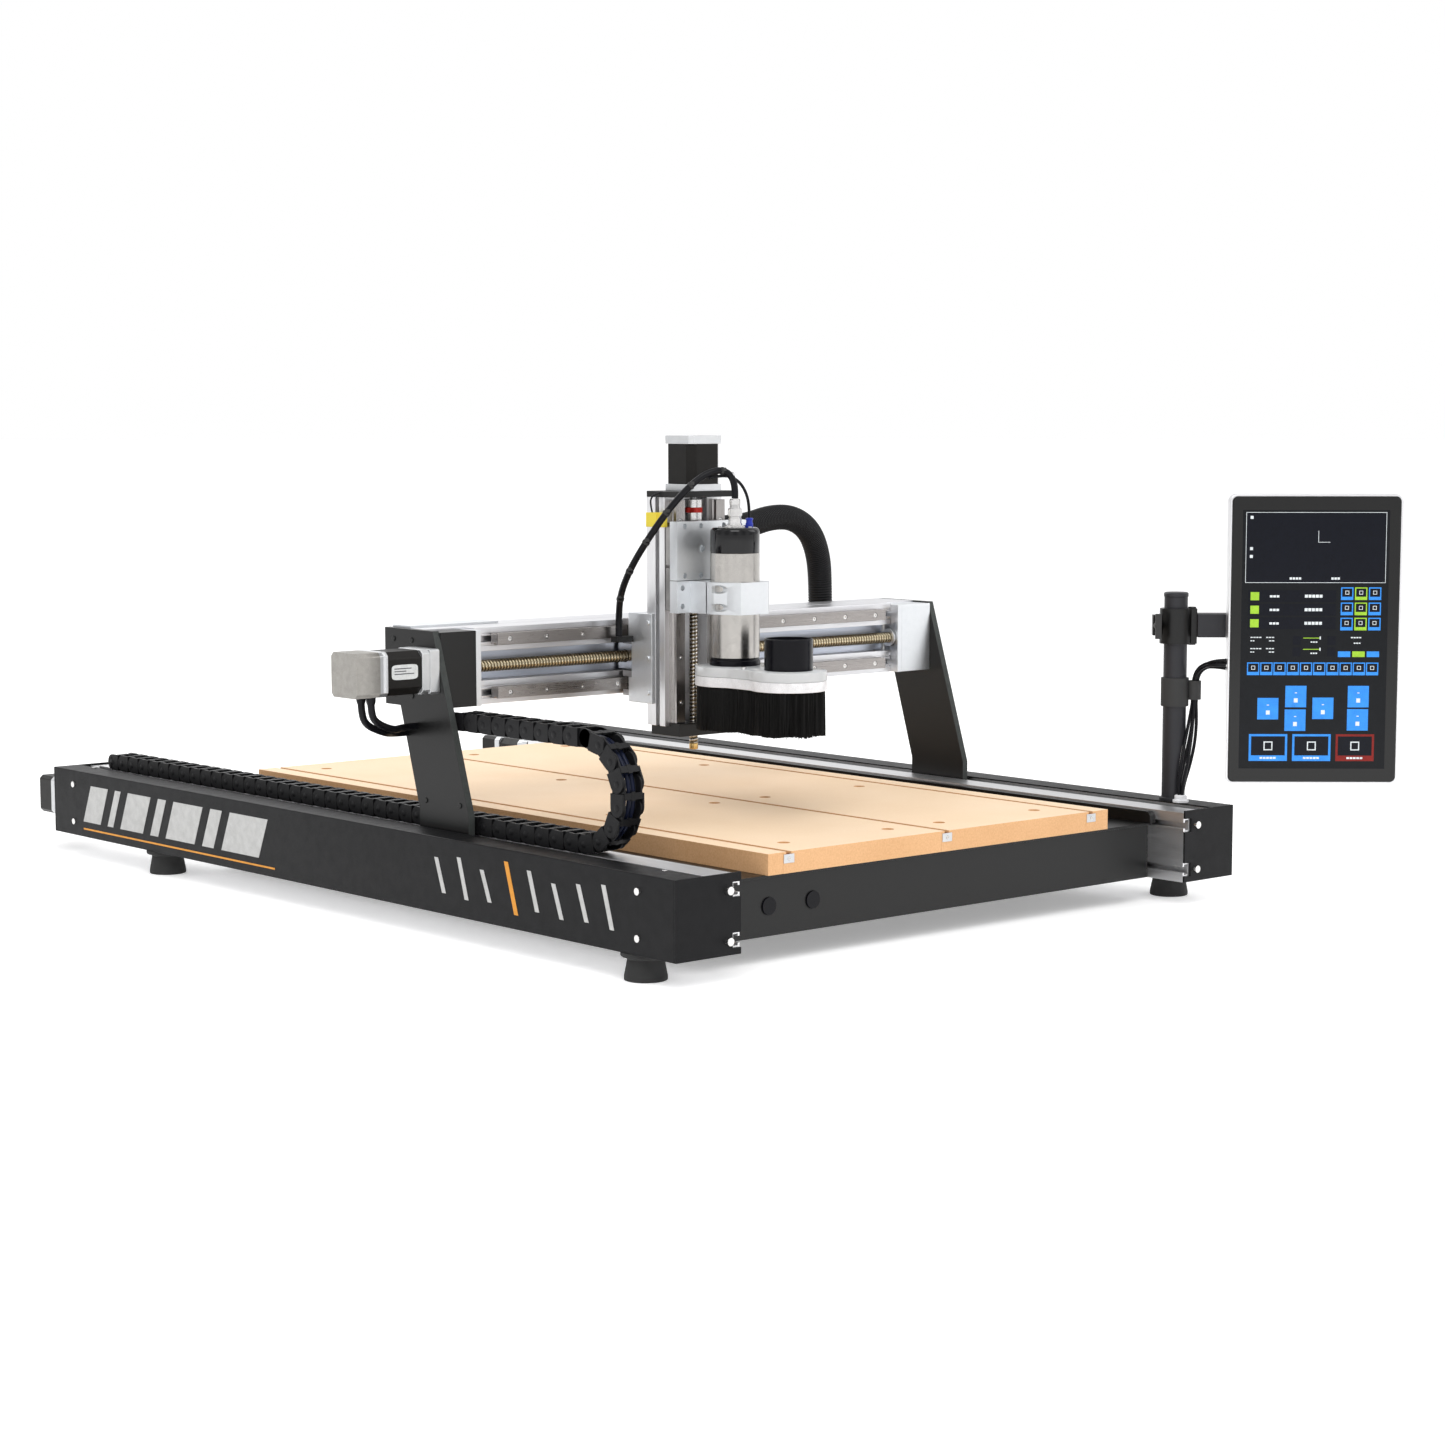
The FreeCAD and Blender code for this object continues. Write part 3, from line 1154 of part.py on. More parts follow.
save("chain_anchor", chain_anchor())
save("left_y_screw", y_screw(-1))
save("right_y_screw", y_screw(1))
save("x_ball_screw", x_ball_screw())
save("z_ball_screw", z_ball_screw())
save("x_carriage_plate", x_carriage_plate())
save("x_bearing_blocks", x_bearing_blocks())
save("x_ball_nut", x_ball_nut())
save("z_column", z_column())
save("z_linear_rails", z_linear_rails())
save("z_end_plates", z_end_plates())
save("z_motor", z_motor())
save("limit_sensor", limit_sensor())
save("carriage_brackets", carriage_brackets())
save("z_plate", z_plate())
save("z_bearing_blocks", z_bearing_blocks())
save("spindle_clamp", spindle_clamp())
save("spindle_body", spindle_body())
save("spindle_cap", spindle_cap())
save("collet", collet())
save("dust_shoe_plate", dust_shoe_plate())
save("brush_strip", brush_strip())
save("dust_port", dust_port())
save("monitor_pole", monitor_pole())
save("pole_clamp", pole_clamp())
save("monitor_arm", monitor_arm())
save("clamp_knob", clamp_knob())
save("screen_housing", screen_housing())
save("screen_glass", screen_glass())
save("cable_clip", cable_clip())
save("monitor_cables", monitor_cables())
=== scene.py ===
"""Visual model of a moving-gantry CNC router with its touch screen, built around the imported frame.

Sizes are millimetres with X across the machine, Y counted back from the front of the side rails and Z up from
the floor. The frame's own origin lies on the floor midway between the feet,
so metres() moves each piece there.
"""

import logging
import math
from dataclasses import dataclass, field
from enum import Enum
from typing import Callable, Optional, Sequence

import bmesh
import bpy
import numpy as np
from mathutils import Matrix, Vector


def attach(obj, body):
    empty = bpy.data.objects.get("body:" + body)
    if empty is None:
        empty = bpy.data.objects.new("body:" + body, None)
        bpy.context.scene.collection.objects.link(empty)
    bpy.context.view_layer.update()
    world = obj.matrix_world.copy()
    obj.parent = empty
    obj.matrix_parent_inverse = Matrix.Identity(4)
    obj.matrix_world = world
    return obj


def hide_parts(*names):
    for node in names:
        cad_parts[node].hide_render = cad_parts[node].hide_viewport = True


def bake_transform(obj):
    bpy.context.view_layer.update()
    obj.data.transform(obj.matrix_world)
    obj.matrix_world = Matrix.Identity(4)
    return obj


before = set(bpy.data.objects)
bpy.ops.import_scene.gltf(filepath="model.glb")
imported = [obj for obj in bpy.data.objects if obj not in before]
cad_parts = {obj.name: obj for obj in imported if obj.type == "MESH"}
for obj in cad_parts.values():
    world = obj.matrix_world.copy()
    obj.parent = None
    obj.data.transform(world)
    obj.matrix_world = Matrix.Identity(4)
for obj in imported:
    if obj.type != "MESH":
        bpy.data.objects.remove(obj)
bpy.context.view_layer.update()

MM = 0.001
ORIGIN = np.array((0.0, 630.0, 0.0))
Colour = tuple[float, float, float]
Point = tuple[float, float, float]
log = logging.getLogger("router")


def metres(points: np.ndarray) -> np.ndarray:
    """Millimetres from the rail front to metres in the row frame."""
    return (np.asarray(points, float) - ORIGIN) * MM


# ---- surfaces -------------------------------------------------------------------------
@dataclass
class Surface:
    """Points in millimetres and faces as arrays of point numbers, one array for each count of corners."""

    points: np.ndarray
    faces: list[np.ndarray]

    def with_(self, *others: "Surface") -> "Surface":
        """This surface and others as one mesh."""
        points = [self.points]
        faces = list(self.faces)
        count = len(self.points)
        for other in others:
            points.append(other.points)
            faces += [f + count for f in other.faces]
            count += len(other.points)
        return Surface(np.concatenate(points), faces)

    def moved(self, shift: Sequence[float]) -> "Surface":
        """Copy shifted by a vector."""
        return Surface(self.points + np.asarray(shift, float), self.faces)

    def copied(self, places: np.ndarray, turns: Optional[np.ndarray] = None) -> "Surface":
        """Copies at many places, each turned by its own matrix where turns are given.

        Args:
            places: (n, 3) shifts.
            turns: (n, 3, 3) rotation matrices, or None for copies that only shift.

        Returns:
            One surface holding every copy.
        """
        places = np.asarray(places, float).reshape(-1, 3)
        count = len(places)
        if turns is None:
            points = self.points[None] + places[:, None]
        else:
            points = np.einsum("nij,kj->nki", turns, self.points) + places[:, None]
        offsets = np.arange(count)[:, None, None] * len(self.points)
        faces = [(f[None] + offsets).reshape(-1, f.shape[1]) for f in self.faces]
        return Surface(points.reshape(-1, 3), faces)


def skin(rings: np.ndarray, capped: bool = True) -> Surface:
    """Closed rings joined by quads: face (i, j) spans rings i, i+1 and columns j, j+1, wrapping round.

    Args:
        rings: (rows, columns, 3) grid of points, each row one closed ring.
        capped: whether a flat face closes the first and last ring.

    Returns:
        The surface.
    """
    rows, columns = rings.shape[:2]
    numbers = np.arange(rows * columns).reshape(rows, columns)
    beside = np.roll(numbers, -1, axis=1)
    quads = np.stack([numbers[:-1], beside[:-1], beside[1:], numbers[1:]], -1).reshape(-1, 4)
    faces = [quads]
    if capped:
        faces += [numbers[:1, ::-1], numbers[-1:]]
    return Surface(rings.reshape(-1, 3).astype(float), faces)


def axes_across(axis: str) -> tuple[np.ndarray, np.ndarray, np.ndarray]:
    """Unit vectors along an axis and the two across it, right-handed."""
    along = {"x": (1, 0, 0), "y": (0, 1, 0), "z": (0, 0, 1)}[axis]
    first = {"x": (0, 1, 0), "y": (0, 0, 1), "z": (1, 0, 0)}[axis]
    along, first = np.array(along, float), np.array(first, float)
    return along, first, np.cross(along, first)


def lathe(profile: Sequence[tuple[float, float]], centre: Point, axis: str = "z", sides: int = 64) -> Surface:
    """Profile of (radius, height) turned about an axis: centre + height * along + radius * (cos, sin)."""
    along, first, second = axes_across(axis)
    shape = np.asarray(profile, float)
    angle = np.linspace(0.0, 2.0 * math.pi, sides, endpoint=False)
    spoke = np.cos(angle)[:, None] * first + np.sin(angle)[:, None] * second
    rings = shape[:, 1, None, None] * along + shape[:, 0, None, None] * spoke[None]
    return skin(rings + np.asarray(centre, float))


def prism(outline: np.ndarray, low: float, high: float, axis: str = "z") -> Surface:
    """Flat outline pushed along an axis from low to high; its two columns run along the axes across."""
    along, first, second = axes_across(axis)
    flat = np.asarray(outline, float)
    ring = flat[:, 0, None] * first + flat[:, 1, None] * second
    return skin(np.stack([ring + low * along, ring + high * along]))


def block(low: Sequence[float], high: Sequence[float]) -> Surface:
    """Box between two corners, as part of a larger piece."""
    x0, y0, z0 = low
    x1, y1, z1 = high
    return prism(np.array([(x0, y0), (x1, y0), (x1, y1), (x0, y1)]), z0, z1)


def smooth_route(route: Sequence[Point], step: float) -> np.ndarray:
    """Points a step apart along the order-3 NURBS spline that has the route as its control points.

    Args:
        route: control points in millimetres.
        step: distance between the points that come back.

    Returns:
        (n, 3) points in millimetres.
    """
    curve = bpy.data.curves.new("route", "CURVE")
    curve.dimensions = "3D"
    curve.resolution_u = 24
    spline = curve.splines.new("NURBS")
    spline.points.add(len(route) - 1)
    for knot, place in zip(spline.points, route):
        knot.co = (*place, 1.0)
    spline.order_u = 3
    spline.use_endpoint_u = True
    holder = bpy.data.objects.new("route", curve)
    mesh = bpy.data.meshes.new_from_object(holder)
    line = np.empty(len(mesh.vertices) * 3)
    mesh.vertices.foreach_get("co", line)
    bpy.data.objects.remove(holder)
    bpy.data.curves.remove(curve)
    bpy.data.meshes.remove(mesh)
    line = line.reshape(-1, 3)
    run = np.concatenate([[0.0], np.cumsum(np.linalg.norm(np.diff(line, axis=0), axis=1))])
    places = np.linspace(0.0, run[-1], max(4, int(round(run[-1] / step)) + 1))
    return np.stack([np.interp(places, run, line[:, k]) for k in range(3)], -1)


def path_axes(line: np.ndarray, reference: Point) -> tuple[np.ndarray, np.ndarray]:
    """Two unit vectors across a path at each point, from its tangent and a vector it never runs along."""
    tangent = np.gradient(line, axis=0)
    tangent /= np.linalg.norm(tangent, axis=1, keepdims=True)
    side = np.cross(tangent, np.asarray(reference, float))
    side /= np.linalg.norm(side, axis=1, keepdims=True)
    return side, np.cross(side, tangent)


def tube(line: np.ndarray, radius: np.ndarray | float, reference: Point = (0, 1, 0),
         sides: int = 20) -> Surface:
    """Circle of a radius that may change along the path, carried along it square to its tangent."""
    side, up = path_axes(line, reference)
    size = np.broadcast_to(np.asarray(radius, float), (len(line),))
    angle = np.linspace(0.0, 2.0 * math.pi, sides, endpoint=False)[None, :, None]
    spoke = side[:, None] * np.cos(angle) + up[:, None] * np.sin(angle)
    rings = line[:, None] + size[:, None, None] * spoke
    return skin(rings)


# ---- finishes -------------------------------------------------------------------------
class Grain(Enum):
    """Direction that a finish's fine marks run in, as the stretch of its pattern along X, Y and Z."""

    NONE = (1.0, 1.0, 1.0)
    ALONG_X = (0.03, 1.0, 1.0)
    ALONG_Y = (1.0, 0.03, 1.0)
    ALONG_Z = (1.0, 1.0, 0.03)


def new_group(name: str, inputs: Sequence[tuple[str, str, float]],
              outputs: Sequence[str]) -> bpy.types.NodeTree:
    """Empty shader group with a Vector input, named float inputs and float outputs."""
    tree = bpy.data.node_groups.new(name, "ShaderNodeTree")
    tree.interface.new_socket("Vector", in_out="INPUT", socket_type="NodeSocketVector")
    for label, kind, value in inputs:
        socket = tree.interface.new_socket(label, in_out="INPUT", socket_type=kind)
        socket.default_value = value
    for label in outputs:
        tree.interface.new_socket(label, in_out="OUTPUT", socket_type="NodeSocketFloat")
    return tree


def add_node(tree: bpy.types.NodeTree, kind: str, **settings: object) -> bpy.types.Node:
    """New node with its plain properties set."""
    node = tree.nodes.new(kind)
    for key, value in settings.items():
        setattr(node, key, value)
    return node


def noise(tree: bpy.types.NodeTree, vector: bpy.types.NodeSocket, scale: float,
          detail: float) -> bpy.types.Node:
    """Noise texture read at a vector."""
    node = add_node(tree, "ShaderNodeTexNoise")
    node.inputs["Scale"].default_value = scale
    node.inputs["Detail"].default_value = detail
    tree.links.new(vector, node.inputs["Vector"])
    return node


def arithmetic(tree: bpy.types.NodeTree, operation: str, first: object,
               second: object) -> bpy.types.NodeSocket:
    """Math node on two sockets or numbers."""
    node = add_node(tree, "ShaderNodeMath", operation=operation)
    for socket, value in zip(node.inputs, (first, second)):
        if isinstance(value, (int, float)):
            socket.default_value = value
        else:
            tree.links.new(value, socket)
    return node.outputs[0]


def stretch(tree: bpy.types.NodeTree, vector: bpy.types.NodeSocket, low: float,
            high: float) -> bpy.types.NodeSocket:
    """Value spread from low..high to 0..1 and held there."""
    node = add_node(tree, "ShaderNodeMapRange", clamp=True)
    node.inputs["From Min"].default_value = low
    node.inputs["From Max"].default_value = high
    tree.links.new(vector, node.inputs["Value"])
    return node.outputs["Result"]


class Effects:
    """Shader groups that the finishes share, each built once."""

    def __init__(self) -> None:
        """Build the groups."""
        self.grain = self._grain()
        self.wear = self._wear()
        self.fibre = self._fibre()

    @staticmethod
    def _ends(tree: bpy.types.NodeTree) -> tuple[bpy.types.Node, bpy.types.Node]:
        """Group input and output nodes."""
        return tree.nodes.new("NodeGroupInput"), tree.nodes.new("NodeGroupOutput")

    def _grain(self) -> bpy.types.NodeTree:
        """Fine marks: a coarse and a fine noise added, put out as a shade from 0 to 1 and as a height."""
        tree = new_group("fine_grain", [("Fineness", "NodeSocketFloat", 1.0)], ("Shade", "Height"))
        start, end = self._ends(tree)
        scaled = add_node(tree, "ShaderNodeVectorMath", operation="SCALE")
        tree.links.new(start.outputs["Vector"], scaled.inputs[0])
        tree.links.new(start.outputs["Fineness"], scaled.inputs["Scale"])
        fine = noise(tree, scaled.outputs[0], 1400.0, 3.0)
        broad = noise(tree, scaled.outputs[0], 90.0, 2.0)
        blend = arithmetic(tree, "MULTIPLY_ADD", fine.outputs["Fac"], 0.65)
        node = blend.node
        tree.links.new(arithmetic(tree, "MULTIPLY", broad.outputs["Fac"], 0.35), node.inputs[2])
        tree.links.new(stretch(tree, blend, 0.36, 0.64), end.inputs["Shade"])
        tree.links.new(fine.outputs["Fac"], end.inputs["Height"])
        return tree

    def _wear(self) -> bpy.types.NodeTree:
        """Handling marks: where a broad noise passes a level set by Amount, broken up by a finer one."""
        tree = new_group("handling_wear", [("Amount", "NodeSocketFloat", 0.3)], ("Mask",))
        start, end = self._ends(tree)
        broad = noise(tree, start.outputs["Vector"], 9.0, 5.0)
        fine = noise(tree, start.outputs["Vector"], 160.0, 2.0)
        mixed = arithmetic(tree, "MULTIPLY", broad.outputs["Fac"], fine.outputs["Fac"])
        mask = stretch(tree, mixed, 0.22, 0.42)
        tree.links.new(arithmetic(tree, "MULTIPLY", mask, start.outputs["Amount"]), end.inputs["Mask"])
        return tree

    def _fibre(self) -> bpy.types.NodeTree:
        """Pressed wood fibre: fine flecks over slow clouds, as a shade and a height."""
        tree = new_group("wood_fibre", [("Fleck", "NodeSocketFloat", 0.5)], ("Shade", "Height"))
        start, end = self._ends(tree)
        flecks = noise(tree, start.outputs["Vector"], 420.0, 6.0)
        clouds = noise(tree, start.outputs["Vector"], 7.0, 3.0)
        speck = stretch(tree, flecks.outputs["Fac"], 0.35, 0.7)
        weighted = arithmetic(tree, "MULTIPLY", speck, start.outputs["Fleck"])
        cloud = arithmetic(tree, "MULTIPLY", stretch(tree, clouds.outputs["Fac"], 0.3, 0.7), 0.5)
        tree.links.new(arithmetic(tree, "ADD", weighted, cloud), end.inputs["Shade"])
        tree.links.new(flecks.outputs["Fac"], end.inputs["Height"])
        return tree


EFFECTS = Effects()


@dataclass(frozen=True)
class Finish:
    """A surface finish: two colours mixed by a fine pattern, a roughness range, a little relief and wear."""

    name: str
    colour: Colour
    deep: Colour
    metallic: float = 0.0
    smooth: float = 0.4
    rough: float = 0.55
    grain: Grain = Grain.NONE
    fineness: float = 1.0
    relief: float = 0.08
    wear: float = 0.15
    worn: Colour = (0.5, 0.5, 0.5)
    coat: float = 0.0
    specular: float = 0.5
    transmission: float = 0.0
    ior: float = 1.45
    glow: float = 0.0
    sheen: float = 0.0
    anisotropy: float = 0.0
    fibre: bool = False

    def material(self) -> bpy.types.Material:
        """The finish's material, built the first time it is asked for."""
        found = bpy.data.materials.get(self.name)
        if found:
            return found
        material = bpy.data.materials.new(self.name)
        material.use_nodes = True
        tree = material.node_tree
        shader = tree.nodes["Principled BSDF"]
        self._plain_values(shader)
        self._pattern(tree, shader)
        return material

    def _plain_values(self, shader: bpy.types.Node) -> None:
        """Set what is the same all over on the shader's own sockets."""
        shader.inputs["Metallic"].default_value = self.metallic
        shader.inputs["Coat Weight"].default_value = self.coat
        shader.inputs["Coat Roughness"].default_value = 0.08
        shader.inputs["Specular IOR Level"].default_value = self.specular
        shader.inputs["Transmission Weight"].default_value = self.transmission
        shader.inputs["IOR"].default_value = self.ior
        shader.inputs["Sheen Weight"].default_value = self.sheen
        shader.inputs["Anisotropic"].default_value = self.anisotropy
        shader.inputs["Emission Strength"].default_value = self.glow

    def _pattern(self, tree: bpy.types.NodeTree, shader: bpy.types.Node) -> None:
        """Feed the shader's colour, roughness and normal from the shared groups."""
        links = tree.links
        coordinates = add_node(tree, "ShaderNodeTexCoord").outputs["Object"]
        mapping = add_node(tree, "ShaderNodeMapping")
        mapping.inputs["Scale"].default_value = self.grain.value
        links.new(coordinates, mapping.inputs["Vector"])
        marks = add_node(tree, "ShaderNodeGroup", node_tree=EFFECTS.fibre if self.fibre else EFFECTS.grain)
        marks.inputs[1].default_value = self.fineness
        links.new(mapping.outputs["Vector"], marks.inputs["Vector"])
        wear = add_node(tree, "ShaderNodeGroup", node_tree=EFFECTS.wear)
        wear.inputs["Amount"].default_value = self.wear
        links.new(coordinates, wear.inputs["Vector"])
        base = self._mix(tree, marks.outputs["Shade"], self.colour, self.deep)
        final = self._mix(tree, wear.outputs["Mask"], base, self.worn)
        links.new(final, shader.inputs["Base Color"])
        if self.glow:
            links.new(final, shader.inputs["Emission Color"])
        span = add_node(tree, "ShaderNodeMapRange")
        span.inputs["To Min"].default_value = self.smooth
        span.inputs["To Max"].default_value = self.rough
        links.new(marks.outputs["Shade"], span.inputs["Value"])
        links.new(span.outputs["Result"], shader.inputs["Roughness"])
        bump = add_node(tree, "ShaderNodeBump")
        bump.inputs["Strength"].default_value = self.relief
        bump.inputs["Distance"].default_value = 0.3 * MM
        links.new(marks.outputs["Height"], bump.inputs["Height"])
        links.new(bump.outputs["Normal"], shader.inputs["Normal"])

    @staticmethod
    def _mix(tree: bpy.types.NodeTree, factor: bpy.types.NodeSocket, first: object,
             second: Colour) -> bpy.types.NodeSocket:
        """Colour between two, by a factor."""
        node = add_node(tree, "ShaderNodeMix", data_type="RGBA")
        tree.links.new(factor, node.inputs["Factor"])
        if isinstance(first, tuple):
            node.inputs["A"].default_value = (*first, 1.0)
        else:
            tree.links.new(first, node.inputs["A"])
        node.inputs["B"].default_value = (*second, 1.0)
        return node.outputs["Result"]


def metal(name: str, colour: Colour, deep: Colour, grain: Grain, smooth: float, rough: float,
          **more: object) -> Finish:
    """Bare or anodised metal with marks along its grain."""
    more.setdefault("wear", 0.03)
    return Finish(name, colour, deep, 1.0, smooth, rough, grain, worn=tuple(0.9 * c for c in colour), **more)


def paint(name: str, colour: Colour, smooth: float, rough: float, **more: object) -> Finish:
    """Paint, plastic or rubber of one colour with a fine speckle."""
    deep = tuple(0.72 * c for c in colour)
    worn = tuple(min(1.0, 1.4 * c + 0.004) for c in colour)
    more.setdefault("specular", 0.2)
    return Finish(name, colour, deep, 0.0, smooth, rough, worn=worn, **more)


ALUMINIUM_X = metal("aluminium_along_x", (0.80, 0.80, 0.82), (0.72, 0.72, 0.74), Grain.ALONG_X, 0.30, 0.42)
ALUMINIUM_Y = metal("aluminium_along_y", (0.80, 0.80, 0.81), (0.72, 0.72, 0.73), Grain.ALONG_Y, 0.30, 0.42)
ALUMINIUM_Z = metal("aluminium_along_z", (0.82, 0.82, 0.83), (0.75, 0.75, 0.76), Grain.ALONG_Z, 0.30, 0.40)
MILLED = metal("milled_aluminium", (0.76, 0.78, 0.80), (0.73, 0.75, 0.77), Grain.NONE, 0.38, 0.5,
               fineness=1.6)
CAST = metal("cast_motor_end", (0.66, 0.67, 0.68), (0.60, 0.61, 0.62), Grain.NONE, 0.4, 0.52, relief=0.2)
# Darker, bluer aluminium for the beam's front recess: painted shade.
RECESS_SHADE = metal("recess_aluminium_painted_shade", (0.62, 0.66, 0.75), (0.56, 0.60, 0.69), Grain.ALONG_X, 0.32, 0.44)
GUIDE_STEEL = metal("guide_steel", (0.40, 0.375, 0.36), (0.31, 0.29, 0.28), Grain.ALONG_X, 0.24, 0.38)
GUIDE_STEEL_Z = metal("guide_steel_upright", (0.44, 0.42, 0.41), (0.33, 0.31, 0.30), Grain.ALONG_Z, 0.24,
                      0.38)
TURNED = metal("turned_steel", (0.52, 0.50, 0.47), (0.44, 0.42, 0.40), Grain.NONE, 0.20, 0.28)
BRIGHT = metal("bright_steel", (0.78, 0.77, 0.76), (0.66, 0.65, 0.64), Grain.NONE, 0.18, 0.28)
BEARING = metal("bearing_steel_block", (0.36, 0.35, 0.34), (0.27, 0.26, 0.26), Grain.ALONG_X, 0.28, 0.4)
GOLDEN = metal("golden_steel", (0.66, 0.58, 0.42), (0.52, 0.44, 0.29), Grain.NONE, 0.18, 0.32)
# Dark brown for the screws' grooves: painted shade standing for the shadow in the thread.
GROOVE_SHADE = metal("screw_groove_painted_shade", (0.22, 0.17, 0.10), (0.14, 0.11, 0.06), Grain.NONE, 0.3, 0.45)
GREY_SCREW = metal("grey_screw", (0.62, 0.60, 0.57), (0.50, 0.48, 0.46), Grain.NONE, 0.2, 0.32)
MOTOR_CAP = paint("motor_cap", (0.36, 0.345, 0.32), 0.4, 0.55, relief=0.1)
CHAIN_CABLE = paint("chain_cable", (0.010, 0.014, 0.035), 0.3, 0.4, relief=0.1)
BRASS = metal("brass", (0.72, 0.50, 0.20), (0.55, 0.37, 0.14), Grain.NONE, 0.2, 0.3)
POWDER = paint("black_powder_coat", (0.005, 0.005, 0.006), 0.36, 0.5, relief=0.25, fineness=0.8, wear=0.06)
PLATE = paint("black_plate", (0.005, 0.005, 0.005), 0.42, 0.55, relief=0.15, wear=0.06)
PLATE_EDGE = paint("plate_edge", (0.05, 0.055, 0.053), 0.45, 0.6, relief=0.15)
BLACK_TUBE = paint("black_tube", (0.005, 0.005, 0.006), 0.22, 0.32, relief=0.05, wear=0.05)
PLASTIC = paint("black_plastic", (0.007, 0.007, 0.008), 0.35, 0.5, relief=0.3, fineness=0.6, wear=0.12)
CHAIN_PLASTIC = paint("chain_plastic", (0.009, 0.009, 0.010), 0.32, 0.46, relief=0.25, fineness=0.5,
                      wear=0.15)
PORT_PLASTIC = paint("port_plastic", (0.003, 0.003, 0.005), 0.16, 0.26, relief=0.05, wear=0.05)
CAP_BLACK = paint("cap_black", (0.003, 0.003, 0.004), 0.08, 0.16, relief=0.02, wear=0.03, coat=0.4)
RUBBER = paint("rubber", (0.007, 0.007, 0.007), 0.6, 0.8, relief=0.4, fineness=0.5)
HOSE_FINISH = paint("hose_black", (0.007, 0.007, 0.008), 0.42, 0.56, relief=0.12, wear=0.1)
CABLE = paint("cable_jacket", (0.006, 0.006, 0.008), 0.28, 0.42, relief=0.1, wear=0.05)
WHITE_CABLE = paint("white_jacket", (0.75, 0.75, 0.73), 0.4, 0.5, relief=0.1)
MOTOR_BLACK = paint("motor_black", (0.010, 0.009, 0.008), 0.3, 0.42, relief=0.2, grain=Grain.ALONG_X)
LABEL = paint("blank_label", (0.66, 0.67, 0.66), 0.45, 0.6, relief=0.02)
LABEL_INK = paint("label_ink", (0.10, 0.10, 0.11), 0.5, 0.6, relief=0.02)
DECAL_GREY = paint("decal_grey", (0.56, 0.56, 0.55), 0.4, 0.5, relief=0.03, wear=0.05)
DECAL_ORANGE = paint("decal_orange", (0.80, 0.34, 0.05), 0.4, 0.5, relief=0.03, wear=0.05)
YELLOW = paint("yellow_plastic", (0.85, 0.52, 0.03), 0.35, 0.5, relief=0.1)
RED = paint("red_spider", (0.62, 0.03, 0.02), 0.35, 0.5, relief=0.1)
BLUE = paint("blue_fitting", (0.03, 0.05, 0.42), 0.25, 0.35, relief=0.05)
WHITE_STRIP = paint("white_strip", (0.86, 0.86, 0.88), 0.45, 0.6, relief=0.1, wear=0.04)
BRISTLE = paint("black_bristle", (0.002, 0.002, 0.002), 0.45, 0.7, grain=Grain.ALONG_Z, relief=0.6,
                fineness=0.9)
BOARD_TOP = Finish("board_face", (0.90, 0.69, 0.48), (0.83, 0.61, 0.40), smooth=0.55, rough=0.75, fibre=True,
                   fineness=0.35, relief=0.2, wear=0.12, worn=(0.92, 0.74, 0.55))
BOARD_EDGE = Finish("board_edge", (0.74, 0.44, 0.225), (0.60, 0.33, 0.15), smooth=0.7, rough=0.9, fibre=True,
                    fineness=0.6, relief=0.5, wear=0.1, worn=(0.7, 0.45, 0.25))
ACRYLIC = Finish("clear_acrylic", (0.90, 0.92, 0.93), (0.86, 0.88, 0.90), smooth=0.12, rough=0.2, relief=0.01,
                 wear=0.0, transmission=0.45, ior=1.49)
SCREEN_GLASS = paint("screen_glass", (0.002, 0.002, 0.002), 0.05, 0.09, relief=0.005, wear=0.02, coat=0.5)
UI_PANEL = paint("screen_panel", (0.007, 0.008, 0.010), 0.12, 0.18, relief=0.0, wear=0.0)
UI_DARK = paint("screen_inset", (0.004, 0.005, 0.010), 0.12, 0.18, relief=0.0, wear=0.0)
UI_BLUE = paint("screen_blue", (0.035, 0.24, 0.72), 0.15, 0.2, relief=0.0, wear=0.0, glow=0.35)
UI_GREEN = paint("screen_green", (0.30, 0.52, 0.04), 0.15, 0.2, relief=0.0, wear=0.0, glow=0.3)
UI_RED = paint("screen_red", (0.20, 0.015, 0.012), 0.15, 0.2, relief=0.0, wear=0.0, glow=0.25)
UI_WHITE = paint("screen_white", (0.62, 0.66, 0.68), 0.15, 0.2, relief=0.0, wear=0.0, glow=0.35)


# ---- pieces ---------------------------------------------------------------------------
def bevelled(piece: bpy.types.Object, width: float, segments: int = 2, angle: float = 32.0) -> None:
    """Round the sharp edges of a piece by a width in millimetres."""
    modifier = piece.modifiers.new("edges", "BEVEL")
    modifier.width = width * MM
    modifier.segments = segments
    modifier.limit_method = "ANGLE"
    modifier.angle_limit = math.radians(angle)
    modifier.use_clamp_overlap = True
    modifier.harden_normals = True


def add_piece(name: str, surface: Surface, body: str, finish: Finish, bevel: float = 0.0,
              crease: float = 35.0) -> bpy.types.Object:
    """Make a surface a piece of the model.

    Args:
        name: the piece's name.
        surface: its shape in millimetres.
        body: the body that it moves with, or an empty string where it is blended later.
        finish: its finish.
        bevel: width of its rounded edges.
        crease: angle past which an edge stays sharp.

    Returns:
        The object, at the origin.
    """
    mesh = bpy.data.meshes.new(name)
    faces = [row for group in surface.faces for row in group.tolist()]
    mesh.from_pydata(metres(surface.points).tolist(), [], faces)
    shell = bmesh.new()
    shell.from_mesh(mesh)
    bmesh.ops.recalc_face_normals(shell, faces=shell.faces)
    shell.to_mesh(mesh)
    shell.free()
    mesh.polygons.foreach_set("use_smooth", np.ones(len(mesh.polygons), bool))
    if not bevel:
        mesh.set_sharp_from_angle(angle=math.radians(crease))
    mesh.materials.append(finish.material())
    piece = bpy.data.objects.new(name, mesh)
    bpy.context.scene.collection.objects.link(piece)
    if bevel:
        bevelled(piece, bevel)
    if body:
        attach(piece, body)
    log.info("%s: %d faces", name, len(mesh.polygons))
    return piece


Zone = tuple[Finish, Callable[[np.ndarray, np.ndarray], np.ndarray]]


